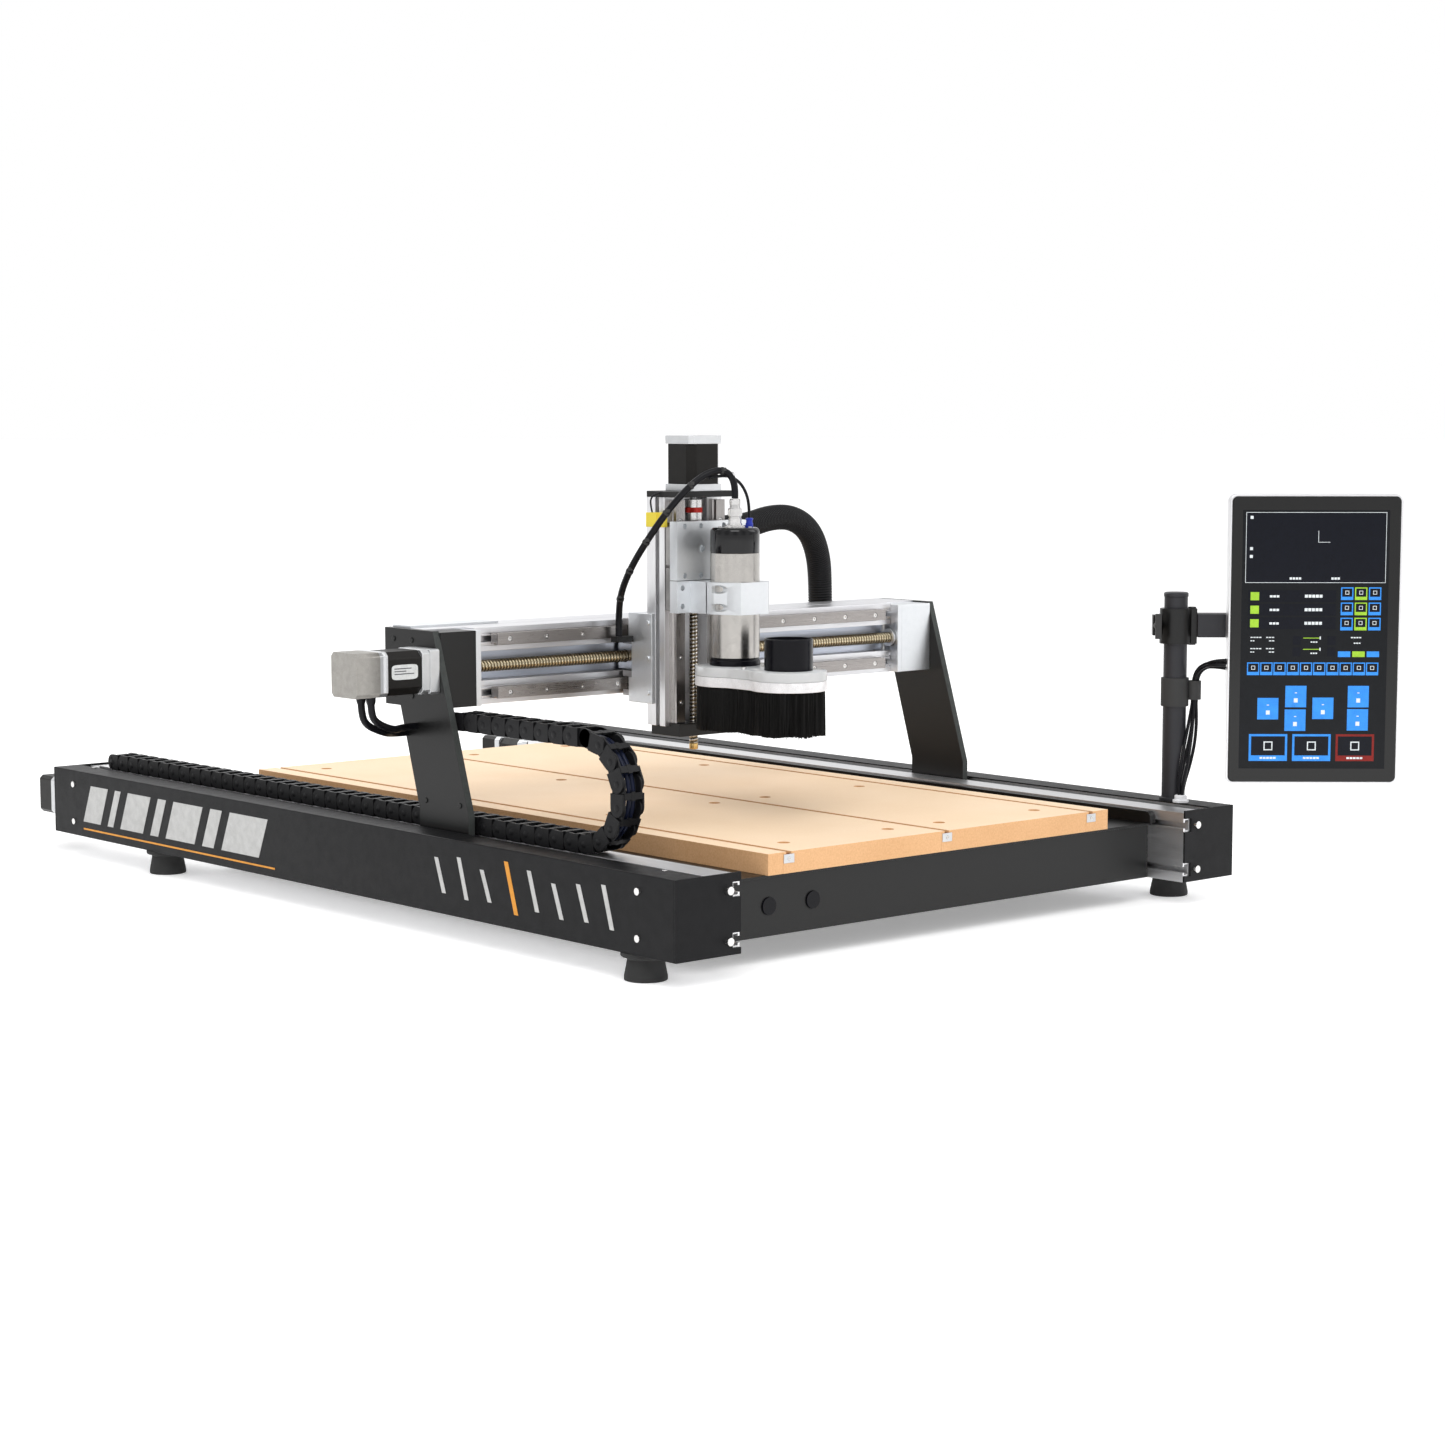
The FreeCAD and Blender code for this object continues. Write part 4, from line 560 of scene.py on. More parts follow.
def dress(node: str, finish: Finish, zones: Sequence[Zone] = (), bevel: float = 0.5) -> None:
    """Give a carried-over node its finishes and rounded edges.

    Args:
        node: the node's name.
        finish: the finish of its faces.
        zones: further finishes, each with a test on face centres (millimetres) and normals.
        bevel: width of its rounded edges, or 0 for none.
    """
    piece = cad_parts[node]
    mesh = piece.data
    mesh.materials.clear()
    mesh.materials.append(finish.material())
    count = len(mesh.polygons)
    centres = np.empty(count * 3)
    normals = np.empty(count * 3)
    mesh.polygons.foreach_get("center", centres)
    mesh.polygons.foreach_get("normal", normals)
    centres = centres.reshape(-1, 3) / MM + ORIGIN
    normals = normals.reshape(-1, 3)
    index = np.zeros(count, np.int32)
    for number, (other, test) in enumerate(zones, start=1):
        mesh.materials.append(other.material())
        index[test(centres, normals)] = number
    mesh.polygons.foreach_set("material_index", index)
    mesh.polygons.foreach_set("use_smooth", np.ones(count, bool))
    custom = mesh.attributes.get("custom_normal")
    if custom:
        mesh.attributes.remove(custom)
    weld = piece.modifiers.new("join", "WELD")
    weld.merge_threshold = 0.01 * MM
    flat = piece.modifiers.new("flat_faces", "DECIMATE")
    flat.decimate_type = "DISSOLVE"
    flat.angle_limit = math.radians(0.5)
    flat.delimit = {"MATERIAL"}
    if bevel:
        bevelled(piece, bevel)
    log.info("%s: dressed", node)


def beyond(axis: int, value: float) -> Callable[[np.ndarray, np.ndarray], np.ndarray]:
    """Test for face centres past a value along an axis."""
    return lambda centres, normals: centres[:, axis] > value


def within(axis: int, low: float, high: float) -> Callable[[np.ndarray, np.ndarray], np.ndarray]:
    """Test for face centres between two values along an axis."""
    return lambda centres, normals: (centres[:, axis] > low) & (centres[:, axis] < high)


def facing(axis: int, sign: float) -> Callable[[np.ndarray, np.ndarray], np.ndarray]:
    """Test for faces that look mostly along an axis."""
    return lambda centres, normals: sign * normals[:, axis] > 0.6


def screw_head(radius: float, height: float, socket: float, axis: str, sign: float,
               sides: int = 20) -> Surface:
    """Cap screw head: a disc with a rounded rim and a six-sided socket sunk in its face.

    Args:
        radius: outer radius.
        height: how far it stands from its seat at the origin.
        socket: radius of the socket.
        axis: the axis that it points along.
        sign: 1 or -1 for which way it points.
        sides: columns round it, a multiple of six.

    Returns:
        The head, seated at the origin.
    """
    along, first, second = axes_across(axis)
    angle = np.linspace(0.0, 2.0 * math.pi, sides, endpoint=False)
    spoke = np.cos(angle)[:, None] * first + np.sin(angle)[:, None] * second
    hexagon = 1.0 / np.cos((angle + math.pi / 6) % (math.pi / 3) - math.pi / 6)
    rim = 0.12 * radius
    rows = [(radius, 0.0, 0), (radius, height - rim, 0), (radius - rim, height, 0), (socket, height, 1),
            (socket, height * 0.45, 1)]
    rings = [sign * z * along + r * spoke * (hexagon[:, None] * 0.87 if six else 1.0) for r, z, six in rows]
    return skin(np.stack(rings))


# ---- base frame -----------------------------------------------------------------------
@dataclass
class BaseFrame:
    """Side rails, covers, cross bars, bed, board and feet."""

    cover_face: float = -496.0
    vinyl: float = 0.3
    guide_x: float = 456.0
    hole_pitch: float = 60.0
    band: tuple[float, float] = (843.0, 1364.0)
    thin_band: tuple[float, float] = (98.0, 482.0)

    def build(self) -> None:
        """Dress the carried-over nodes and add the decals."""
        for node in ("left_rail_extrusion", "right_rail_extrusion"):
            dress(node, ALUMINIUM_Y, bevel=0.4)
        for node in ("rail_covers", "end_caps"):
            dress(node, POWDER, bevel=0.6)
        for node in ("crossbars", "bed_sheet", "bed_side_plates"):
            dress(node, PLATE, bevel=0.5)
        dress("frame_screws", BRIGHT, [(PORT_PLASTIC, self._plugs)], bevel=0.3)
        dress("spoilboard", BOARD_TOP, [(BOARD_EDGE, lambda c, n: np.abs(n[:, 2]) < 0.6)], bevel=0.4)
        dress("t_tracks", BOARD_TOP, [(BOARD_EDGE, lambda c, n: n[:, 2] < 0.6)], bevel=0.3)
        self._track_ends()
        dress("feet", RUBBER, bevel=1.2)
        dress("y_linear_rails", GUIDE_STEEL, bevel=0.3)
        dress("y_screw_bearings", CAST, bevel=0.4)
        dress("y_motors", CAST, [(MOTOR_BLACK, within(1, 1478.5, 1529.5)), (MOTOR_BLACK, beyond(1, 1542.5))],
              bevel=0.8)
        dress("chain_anchor", ALUMINIUM_Y, bevel=0.4)
        self._stripes()

    def _track_ends(self) -> None:
        """Filler under each track at the board's two ends, and a small plate with a screw over it."""
        plates, fillers, screws = [], [], []
        for x in (-270.5, 0.0, 270.5):
            for y, sign in ((56.0, -1.0), (1185.0, 1.0)):
                near, far = sorted((y + sign * 0.15, y - sign * 9.0))
                fillers.append(block((x - 9.4, near, 109.7), (x + 9.4, far, 123.8)))
                near, far = sorted((y - sign * 0.1, y + sign * 1.0))
                plates.append(block((x - 8.5, near, 122.0), (x + 8.5, far, 133.0)))
                screws.append(screw_head(2.4, 0.8, 1.2, "y", sign, 16).moved((x, y + sign * 0.95, 127.5)))
        add_piece("track_fillers", fillers[0].with_(*fillers[1:]), "root", BOARD_EDGE)
        add_piece("track_end_plates", plates[0].with_(*plates[1:]), "root", CAST,
                  bevel=0.4)
        add_piece("track_end_screws", screws[0].with_(*screws[1:]), "root", GREY_SCREW)

    @staticmethod
    def _plugs(centres: np.ndarray, normals: np.ndarray) -> np.ndarray:
        """Faces of the round plugs in the front cross bar."""
        return (np.abs(centres[:, 0] + 259.0) < 60.0) & (centres[:, 1] > 40.0) & (centres[:, 1] < 80.0)

    def _bar(self, y0: float, y1: float, z0: float, z1: float, lean: float = 0.0) -> Surface:
        """Leaning bar of thin vinyl on the left cover: a parallelogram pushed out from the sheet."""
        outline = np.array([(y0, z0), (y1, z0), (y1 - lean, z1), (y0 - lean, z1)])
        return prism(outline, self.cover_face - self.vinyl, self.cover_face + 0.01, "x")

    def _stripes(self) -> None:
        """Plain stripes in place of lettering: wide leaning bars at the rear, thin ones at the front."""
        low, high = self.band
        widths = (96.0, 30.0, 78.0, 22.0, 64.0, 16.0, 50.0)
        gap = (high - low - 40.0 - sum(widths)) / (len(widths) - 1)
        starts = np.cumsum((0.0,) + tuple(w + gap for w in widths[:-1])) + low + 40.0
        bars = [self._bar(y, y + w, 57.0, 112.0, 24.0) for y, w in zip(starts, widths)]
        add_piece("side_stripes", bars[0].with_(*bars[1:]), "root", DECAL_GREY)
        low, high = self.thin_band
        pitch = (high - low) / 8
        thin = [self._bar(low + 14.0 + k * pitch, low + 22.0 + k * pitch, 58.0 + 3.0 * (k % 2),
                          110.0 - 5.0 * (k % 3), -16.0)
                for k in (0, 1, 2, 3, 5, 6, 7)]
        add_piece("side_lines", thin[0].with_(*thin[1:]), "root", DECAL_GREY)
        middle = (low + high) / 2
        accents = [self._bar(self.band[0], self.band[1], 45.0, 47.5)]
        accents.append(self._bar(middle + 8.0, middle + 16.0, 52.0, 116.0, -20.0))
        add_piece("side_accents", accents[0].with_(*accents[1:]), "root", DECAL_ORANGE)


# ---- cable chain ----------------------------------------------------------------------
@dataclass
class CableChain:
    """Drag chain on the left rail: two straight runs and the bend between them."""

    centre_x: float = -421.0
    bend_y: float = 242.0
    bend_z: float = 205.0
    bend_radius: float = 65.0
    bend_links: int = 7
    lower_links: int = 39
    upper_links: int = 9
    half_width: float = 17.0
    half_height: float = 12.0
    wall: float = 2.6
    joint_radius: float = 11.6

    def __post_init__(self) -> None:
        """Length of a link, from the bend that seven of them make."""
        self.pitch = math.pi * self.bend_radius / self.bend_links

    def _plate(self, pivot: float, tail: float, inner: float, outer: float) -> Surface:
        """Side plate of a link: a half circle about its pivot run straight to its tail."""
        angle = np.linspace(-math.pi / 2, math.pi / 2, 9)
        way = math.copysign(1.0, pivot - tail)
        arc = np.stack([pivot + way * self.joint_radius * 0.96 * np.cos(angle),
                        self.joint_radius * np.sin(angle)], -1)
        ends = np.array([(tail, self.joint_radius), (tail, -self.joint_radius)])
        return prism(np.concatenate([arc, ends]), inner, outer, "x")

    def link(self) -> Surface:
        """One link about its middle, running along Y: outer and inner side plates, bars and pivot bosses."""
        half = self.pitch / 2
        wide, narrow = self.half_width, self.half_width - self.wall - 0.4
        parts = []
        for side in (-1.0, 1.0):
            parts.append(self._plate(half, -3.0, side * (wide - self.wall), side * wide))
            parts.append(self._plate(-half, 3.0, side * (narrow - self.wall), side * narrow))
            boss = lathe([(4.6, 0.0), (4.6, 0.3), (3.9, 0.6)], (wide - 0.1, half, 0.0), "x", 14)
            boss.points[:, 0] *= side
            parts.append(boss)
        for level in (-1.0, 1.0):
            edge = self.half_height - 0.2
            z0, z1 = sorted((level * (edge - 2.2), level * edge))
            parts.append(block((-narrow, -4.2, z0), (narrow, 4.2, z1)))
            parts.append(block((-3.0, -5.6, z0 - 0.2), (3.0, 5.6, z1 + 0.2)))
        return parts[0].with_(*parts[1:])

    def build(self) -> None:
        """Add the three stretches of links and the cables in them."""
        link = self.link()
        steps = np.arange(self.lower_links) + 0.5
        lower = np.stack([np.full(len(steps), self.centre_x), self.bend_y + steps * self.pitch,
                          np.full(len(steps), self.bend_z - self.bend_radius)], -1)
        low_run = add_piece("chain_lower_links", link.copied(lower), "", CHAIN_PLASTIC,
                            bevel=0.4)
        steps = np.arange(self.upper_links) + 0.5
        upper = np.stack([np.full(len(steps), self.centre_x), self.bend_y + steps * self.pitch,
                          np.full(len(steps), self.bend_z + self.bend_radius)], -1)
        top_run = add_piece("chain_upper_links", link.copied(upper), "", CHAIN_PLASTIC,
                            bevel=0.4)
        angle = (np.arange(self.bend_links) + 0.5) * math.pi / self.bend_links
        reach = self.bend_radius * math.cos(math.pi / self.bend_links / 2)
        places = np.stack([np.full(len(angle), self.centre_x), self.bend_y - reach * np.sin(angle),
                           self.bend_z - reach * np.cos(angle)], -1)
        zero, one = np.zeros_like(angle), np.ones_like(angle)
        turns = np.stack([one, zero, zero, zero, np.cos(angle), np.sin(angle), zero, -np.sin(angle),
                          np.cos(angle)], -1)
        bend = link.copied(places, turns.reshape(-1, 3, 3))
        add_piece("chain_bend_links", bend, "chain_bend", CHAIN_PLASTIC, bevel=0.4)
        self._cables()
        run = self.lower_links * self.pitch
        self._follow(low_run, run, -run)
        run = self.upper_links * self.pitch
        self._follow(top_run, -run, run)
        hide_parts("chain_lower_run")
        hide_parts("chain_upper_run")
        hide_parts("chain_loop")

    def _cables(self) -> None:
        """Round cables inside the chain: straight in the runs and half circles in the bend."""
        places = ((-7.5, 3.4), (0.5, 2.6), (7.5, 3.0))
        for name, level, count, way in (("lower", -1.0, self.lower_links, -1.0),
                                        ("upper", 1.0, self.upper_links, 1.0)):
            length = count * self.pitch
            y = self.bend_y + np.linspace(0.0, length, 2 * count + 1)
            strands = []
            for x, radius in places:
                across = np.full(len(y), self.centre_x + x)
                height = np.full(len(y), self.bend_z + level * self.bend_radius)
                line = np.stack([across, y, height], -1)
                strands.append(tube(line, radius, (0, 0, 1), 12))
            run = add_piece(f"chain_{name}_cables", strands[0].with_(*strands[1:]), "", CHAIN_CABLE)
            self._follow(run, -way * length, way * length)
        angle = np.linspace(0.0, math.pi, 25)
        strands = []
        for x, radius in places:
            line = np.stack([np.full(25, self.centre_x + x), self.bend_y - self.bend_radius * np.sin(angle),
                             self.bend_z - self.bend_radius * np.cos(angle)], -1)
            strands.append(tube(line, radius, (1, 0, 0), 12))
        add_piece("chain_bend_cables", strands[0].with_(*strands[1:]), "chain_bend", CHAIN_CABLE)

    def _follow(self, piece: bpy.types.Object, start: float, end: float) -> None:
        """Bake the run's placement into its mesh."""
        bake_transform(piece)


# ---- gantry ---------------------------------------------------------------------------
@dataclass
class BallScrew:
    """Drive screw with round-bottomed helical grooves."""

    name: str
    node: str
    body: str
    axis: str
    centre: Point
    length: float
    radius: float
    pitch: float
    finish: Finish
    slot: str = "golden_screw"
    sides: int = 24
    samples: int = 6
    depth: float = 0.9

    def surface(self) -> Surface:
        """Radius falls by the groove's depth where height / pitch - angle / turn nears a whole number."""
        along, first, second = axes_across(self.axis)
        rows = int(self.length / self.pitch * self.samples) + 1
        height = np.linspace(0.0, self.length, rows)[:, None]
        angle = np.linspace(0.0, 2.0 * math.pi, self.sides, endpoint=False)[None]
        phase = height / self.pitch - angle / (2.0 * math.pi)
        groove = np.clip(np.cos(2.0 * math.pi * phase) + 0.25, 0.0, None) / 1.25
        size = self.radius - self.depth * np.sqrt(groove)
        plain = (height < 1.2) | (height > self.length - 1.2)
        size = np.where(plain, self.radius - 0.6, size)
        spoke = np.cos(angle)[..., None] * first + np.sin(angle)[..., None] * second
        rings = height[..., None] * along + size[..., None] * spoke + np.asarray(self.centre, float)
        return skin(rings)

    def build(self) -> bpy.types.Object:
        """Add the screw in its node's place."""
        piece = add_piece(self.name, self.surface(), self.body, self.finish, crease=80.0)
        self._darken(piece.data)
        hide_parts(self.node)
        return piece

    def _darken(self, mesh: bpy.types.Mesh) -> None:
        """Paint shade into the groove: the faces whose distance from the axis is under the crest's take a
        dark brown, painted shade.
        """
        centres = np.empty(len(mesh.polygons) * 3)
        mesh.polygons.foreach_get("center", centres)
        offset = centres.reshape(-1, 3) / MM + ORIGIN - np.asarray(self.centre, float)
        along = axes_across(self.axis)[0]
        reach = np.linalg.norm(offset - (offset @ along)[:, None] * along, axis=1)
        mesh.materials.append(GROOVE_SHADE.material())
        mesh.polygons.foreach_set("material_index",
                                  (reach < self.radius - 0.55 * self.depth).astype(np.int32))


def guide_screws(name: str, body: str, places: np.ndarray, axis: str, sign: float) -> None:
    """Bright ringed screws sunk in the holes of a guide rail."""
    washer = screw_head(3.6, 2.6, 1.7, axis, sign, 18)
    add_piece(name, washer.copied(places), body, BRIGHT)


@dataclass
class Gantry:
    """Legs, beam, guides, drive screws, motor and its leads."""

    screw_y: float = 547.0
    screw_z: float = 334.0
    guide_heights: tuple[float, float] = (299.0, 369.0)
    guide_face: float = 530.0
    first_hole: float = -330.0
    holes: int = 12
    hole_pitch: float = 60.0
    motor_x: float = -550.0
    lead_radius: float = 4.6
    lead_low: float = 305.5

    def build(self) -> None:
        """Dress the gantry and add its screws, leads and labels."""
        for node in ("left_leg", "right_leg"):
            dress(node, PLATE, [(PLATE_EDGE, facing(1, -1.0))], bevel=0.6)
        dress("y_bearing_blocks", BEARING, bevel=0.5)
        # The recess between the guides takes the darker, bluer aluminium: painted shade.
        recess = (RECESS_SHADE, lambda c, n: (c[:, 2] > 315.5) & (c[:, 2] < 352.5) & (c[:, 1] < 567.0))
        dress("beam_extrusion", ALUMINIUM_X, [recess], bevel=0.5)
        dress("beam_end_covers", PLATE, [(MILLED, beyond(0, 0.0))], bevel=0.8)
        dress("beam_end_plates", MILLED, bevel=0.4)
        dress("x_linear_rails", GUIDE_STEEL, bevel=0.3)
        dress("x_motor", CAST,
              [(MOTOR_BLACK, within(0, -529.5, -478.5)), (MOTOR_CAP, within(0, -600.0, -542.5))], bevel=0.9)
        dress("gantry_brackets", PLATE, [(MILLED, within(2, 383.0, 390.0))], bevel=0.4)
        BallScrew("x_drive_screw", "x_ball_screw", "x_screw", "x", (-411.0, self.screw_y, self.screw_z),
                  806.0, 8.0, 5.0,
                  GOLDEN).build()
        self._hub()
        for side, body, node in ((-1.0, "left_screw", "left_y_screw"), (1.0, "right_screw", "right_y_screw")):
            BallScrew(node + "_thread", node, body, "y", (side * 424.0, 18.0, 75.0), 1391.0, 8.0, 10.0,
                      GOLDEN,
                      sides=16, samples=8).build()
        columns = self.first_hole + self.hole_pitch * np.arange(self.holes)
        grid = np.stack(np.meshgrid(columns, self.guide_heights), -1).reshape(-1, 2)
        places = np.stack([grid[:, 0], np.full(len(grid), self.guide_face + 3.2), grid[:, 1]], -1)
        guide_screws("x_guide_screws", "gantry", places, "y", -1.0)
        self._leads()
        self._labels()

    def _hub(self) -> None:
        """Clamp hub that joins the X screw to its motor."""
        profile = [(6.0, 0.0), (11.6, 0.0), (12.5, 0.9), (12.5, 11.0), (11.8, 11.4), (11.8, 13.0),
                   (12.5, 13.4), (12.5, 26.1), (11.6, 27.0), (8.2, 27.0)]
        hub = lathe(profile, (-438.0, self.screw_y, self.screw_z), "x", 40)
        add_piece("x_coupling", hub, "x_screw", MILLED)

    def _leads(self) -> None:
        """Two leads that leave the motor and turn in to the left leg."""
        x, low, radius = self.motor_x, self.lead_low, self.lead_radius
        parts = []
        for out, back in ((0.0, 0.0), (10.0, -22.0)):
            y = 551.0 + back
            route = [(x, y, low), (x, y, low - 18), (x + 8, y + 3, low - 37 + out / 2),
                     (x + 42, y + 12, low - 50 + out / 2),
                     (-473, y + 42, low - 56 + out), (-451, y + 42, low - 56 + out)]
            line = smooth_route(route, 3.0)
            parts.append(tube(line, radius, sides=20))
            parts.append(tube(line[:4], radius + np.array((1.6, 1.6, 1.2, 0.4)), sides=20))
        leads = add_piece("x_motor_leads", parts[0].with_(*parts[1:]), "gantry", CABLE)
        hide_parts("x_motor_cables")

    def _labels(self) -> None:
        """Blank rounded label with three printed bars on the X motor's body."""
        face = 547.0 - 28.5
        angle = np.linspace(0.0, 2.0 * math.pi, 64, endpoint=False)
        wide = 20.0 * np.sign(np.cos(angle)) * np.abs(np.cos(angle)) ** 0.35 - 505.0
        tall = 9.5 * np.sign(np.sin(angle)) * np.abs(np.sin(angle)) ** 0.35 + 336.0
        label = skin(np.stack([np.stack([wide, np.full(64, y), tall], -1) for y in (face - 0.25,
                                                                                    face + 0.1)]))
        add_piece("x_motor_label", label, "gantry", LABEL)
        bars = [block((-521.0, face - 0.4, 340.0 - 3.4 * k), (-521.0 + w, face - 0.15, 341.2 - 3.4 * k))
                for k, w in enumerate((26.0, 18.0, 30.0))]
        add_piece("x_motor_label_bars", bars[0].with_(*bars[1:]), "gantry", LABEL_INK)


# ---- X carriage -----------------------------------------------------------------------
@dataclass
class XCarriage:
    """Carriage plate, Z column, its guides, screw and motor, and the cables that end on it."""

    axis_x: float = -83.0
    axis_y: float = 452.0
    guide_x: tuple[float, float] = (-118.0, -48.0)
    guide_face: float = 437.0
    screw_base: float = 220.0
    screw_top: float = 518.0

    def build(self) -> None:
        """Dress the carriage and add the Z screw and small details."""
        dress("x_carriage_plate", MILLED, bevel=0.6)
        dress("x_bearing_blocks", BEARING, bevel=0.5)
        dress("x_ball_nut", BRIGHT, bevel=0.5)
        dress("z_column", ALUMINIUM_Z, bevel=0.4)
        dress("z_linear_rails", GUIDE_STEEL_Z, bevel=0.3)
        dress("z_end_plates", PLATE, bevel=0.6)
        dress("z_motor", CAST, [(MOTOR_BLACK, within(2, 567.5, 619.5))], bevel=0.9)
        dress("limit_sensor", YELLOW, bevel=0.8)
        dress("carriage_brackets", PLATE, bevel=0.4)
        length = self.screw_top - self.screw_base
        centre = (self.axis_x, self.axis_y, self.screw_base)
        BallScrew("z_drive_screw", "z_ball_screw", "z_screw", "z", centre, length, 6.0, 5.0, GREY_SCREW,
                  sides=20,
                  depth=0.7).build()
        self._coupling()
        rows = np.arange(5) * 60.0 + 278.5
        grid = np.stack(np.meshgrid(self.guide_x, rows), -1).reshape(-1, 2)
        places = np.stack([grid[:, 0], np.full(len(grid), self.guide_face + 3.2), grid[:, 1]], -1)
        guide_screws("z_guide_screws", "x_carriage", places, "y", -1.0)
        self._sensor_lead()

    def _coupling(self) -> None:
        """Jaw coupling: two silver hubs about a red spider."""
        centre = (self.axis_x, self.axis_y, self.screw_top)
        lower = lathe([(4.5, 0.0), (11.7, 0.0), (12.5, 0.8), (12.5, 11.0), (11.0, 11.0)], centre, "z", 40)
        upper = lathe([(11.0, 18.0), (12.5, 18.0), (12.5, 28.2), (11.7, 29.0), (4.5, 29.0)], centre, "z", 40)
        add_piece("z_coupling_hubs", lower.with_(upper), "z_screw", BRIGHT)
        angle = np.linspace(0.0, 2.0 * math.pi, 48, endpoint=False)
        size = 11.6 + 0.9 * np.tanh(3.0 * np.cos(6.0 * angle))
        outline = np.stack([size * np.cos(angle), size * np.sin(angle)],
                           -1) + np.array((self.axis_x, self.axis_y))
        spider = prism(outline, self.screw_top + 11.0, self.screw_top + 18.0)
        add_piece("z_coupling_spider", spider, "z_screw", RED, bevel=0.4)
        end = lathe([(3.0, 0.0), (5.6, 0.6), (5.9, 2.0), (5.9, 8.0), (4.0, 9.0)],
                    (self.axis_x, self.axis_y, 212.0))
        add_piece("z_screw_end", end, "z_screw", BRASS)

    def _sensor_lead(self) -> None:
        """Thin lead that loops from the limit sensor to the column's top plate."""
        route = [(-141.0, 467.0, 528.0), (-143.0, 468.0, 538.0), (-143.0, 469.0, 547.0),
                 (-139.0, 466.0, 554.0),
                 (-132.0, 462.0, 556.0)]
        add_piece("sensor_lead", tube(smooth_route(route, 2.0), 1.2, sides=10), "x_carriage", CABLE)


# ---- hose and cables ------------------------------------------------------------------
@dataclass
class Lines:
    """Hose and cables held at both ends."""

    hose_radius: float = 18.0
    rib_pitch: float = 4.2
    cable_radius: float = 4.5
    hose_route: list[Point] = field(default_factory=lambda: [
        (-72, 518, 450), (-72, 518, 470), (-52, 524, 493), (-8, 536, 502), (50, 550, 501), (112, 565, 503),
        (175, 586, 513), (236, 606, 511), (292, 630, 490), (330, 652, 452), (347, 666, 404), (347, 666, 350)])
    cable_route: list[Point] = field(default_factory=lambda: [
        (-83, 368, 549.8), (-80, 370, 572), (-94, 377, 588), (-118, 388, 582), (-140, 402, 560),
        (-158, 420, 530),
        (-170, 444, 494), (-176, 470, 458), (-172, 496, 424), (-158, 518, 394), (-158, 518, 364)])
    air_route: list[Point] = field(default_factory=lambda: [
        (-65, 360, 523), (-65, 360, 540), (-68, 363, 558), (-76, 369, 573), (-92, 378, 581),
        (-112, 388, 576)])

    def _follow(self, piece: bpy.types.Object, first: str, second: str, route: list[Point]) -> None:
        """Bake the piece's placement into its mesh."""
        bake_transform(piece)

    def build(self) -> None:
        """Add the dust hose, the spindle cable, its ties and the air tube."""
        line = smooth_route(self.hose_route, self.rib_pitch / 4)
        run = np.arange(len(line)) / 4.0
        ribs = np.clip(1.35 * np.cos(2.0 * math.pi * run) + 0.4, -1.0, 1.0)
        hose = tube(line, self.hose_radius - 0.7 + 0.7 * ribs, sides=36)
        hose_piece = add_piece("dust_hose", hose, "", HOSE_FINISH, crease=80.0)
        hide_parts("hose")
        self._follow(hose_piece, "x_carriage", "gantry", self.hose_route)
        line = smooth_route(self.cable_route, 3.0)
        cable = add_piece("spindle_lead", tube(line, self.cable_radius, sides=20), "", CABLE)
        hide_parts("spindle_cable")
        self._follow(cable, "z_carriage", "x_carriage", self.cable_route)
        rings = [tube(line[k:k + 2], self.cable_radius + 0.7, sides=20) for k in range(14, len(line) - 6, 16)]
        heads = [block(-np.array((2.6, 2.0, 2.2)),
                       np.array((2.6, 2.0, 2.2))).moved(line[k] + np.array((-3.0, -4.6, 2.4)))
                 for k in range(14, len(line) - 6, 16)]
        ties = add_piece("cable_ties", rings[0].with_(*rings[1:], *heads), "", PLASTIC)
        self._follow(ties, "z_carriage", "x_carriage", self.cable_route)
        air = add_piece("air_tube", tube(smooth_route(self.air_route, 2.0), 2.0, sides=14), "",
                        CABLE)
        self._follow(air, "z_carriage", "x_carriage", self.cable_route)
        white = smooth_route(self.cable_route, 3.0)[9]
        knot = block((-3.0, -2.2, 0.0), (3.0, 2.2, 5.0)).moved(white + np.array((2.0, -3.0, 3.4)))
        head = add_piece("tie_head", knot, "", WHITE_STRIP, bevel=0.6)
        self._follow(head, "z_carriage", "x_carriage", self.cable_route)


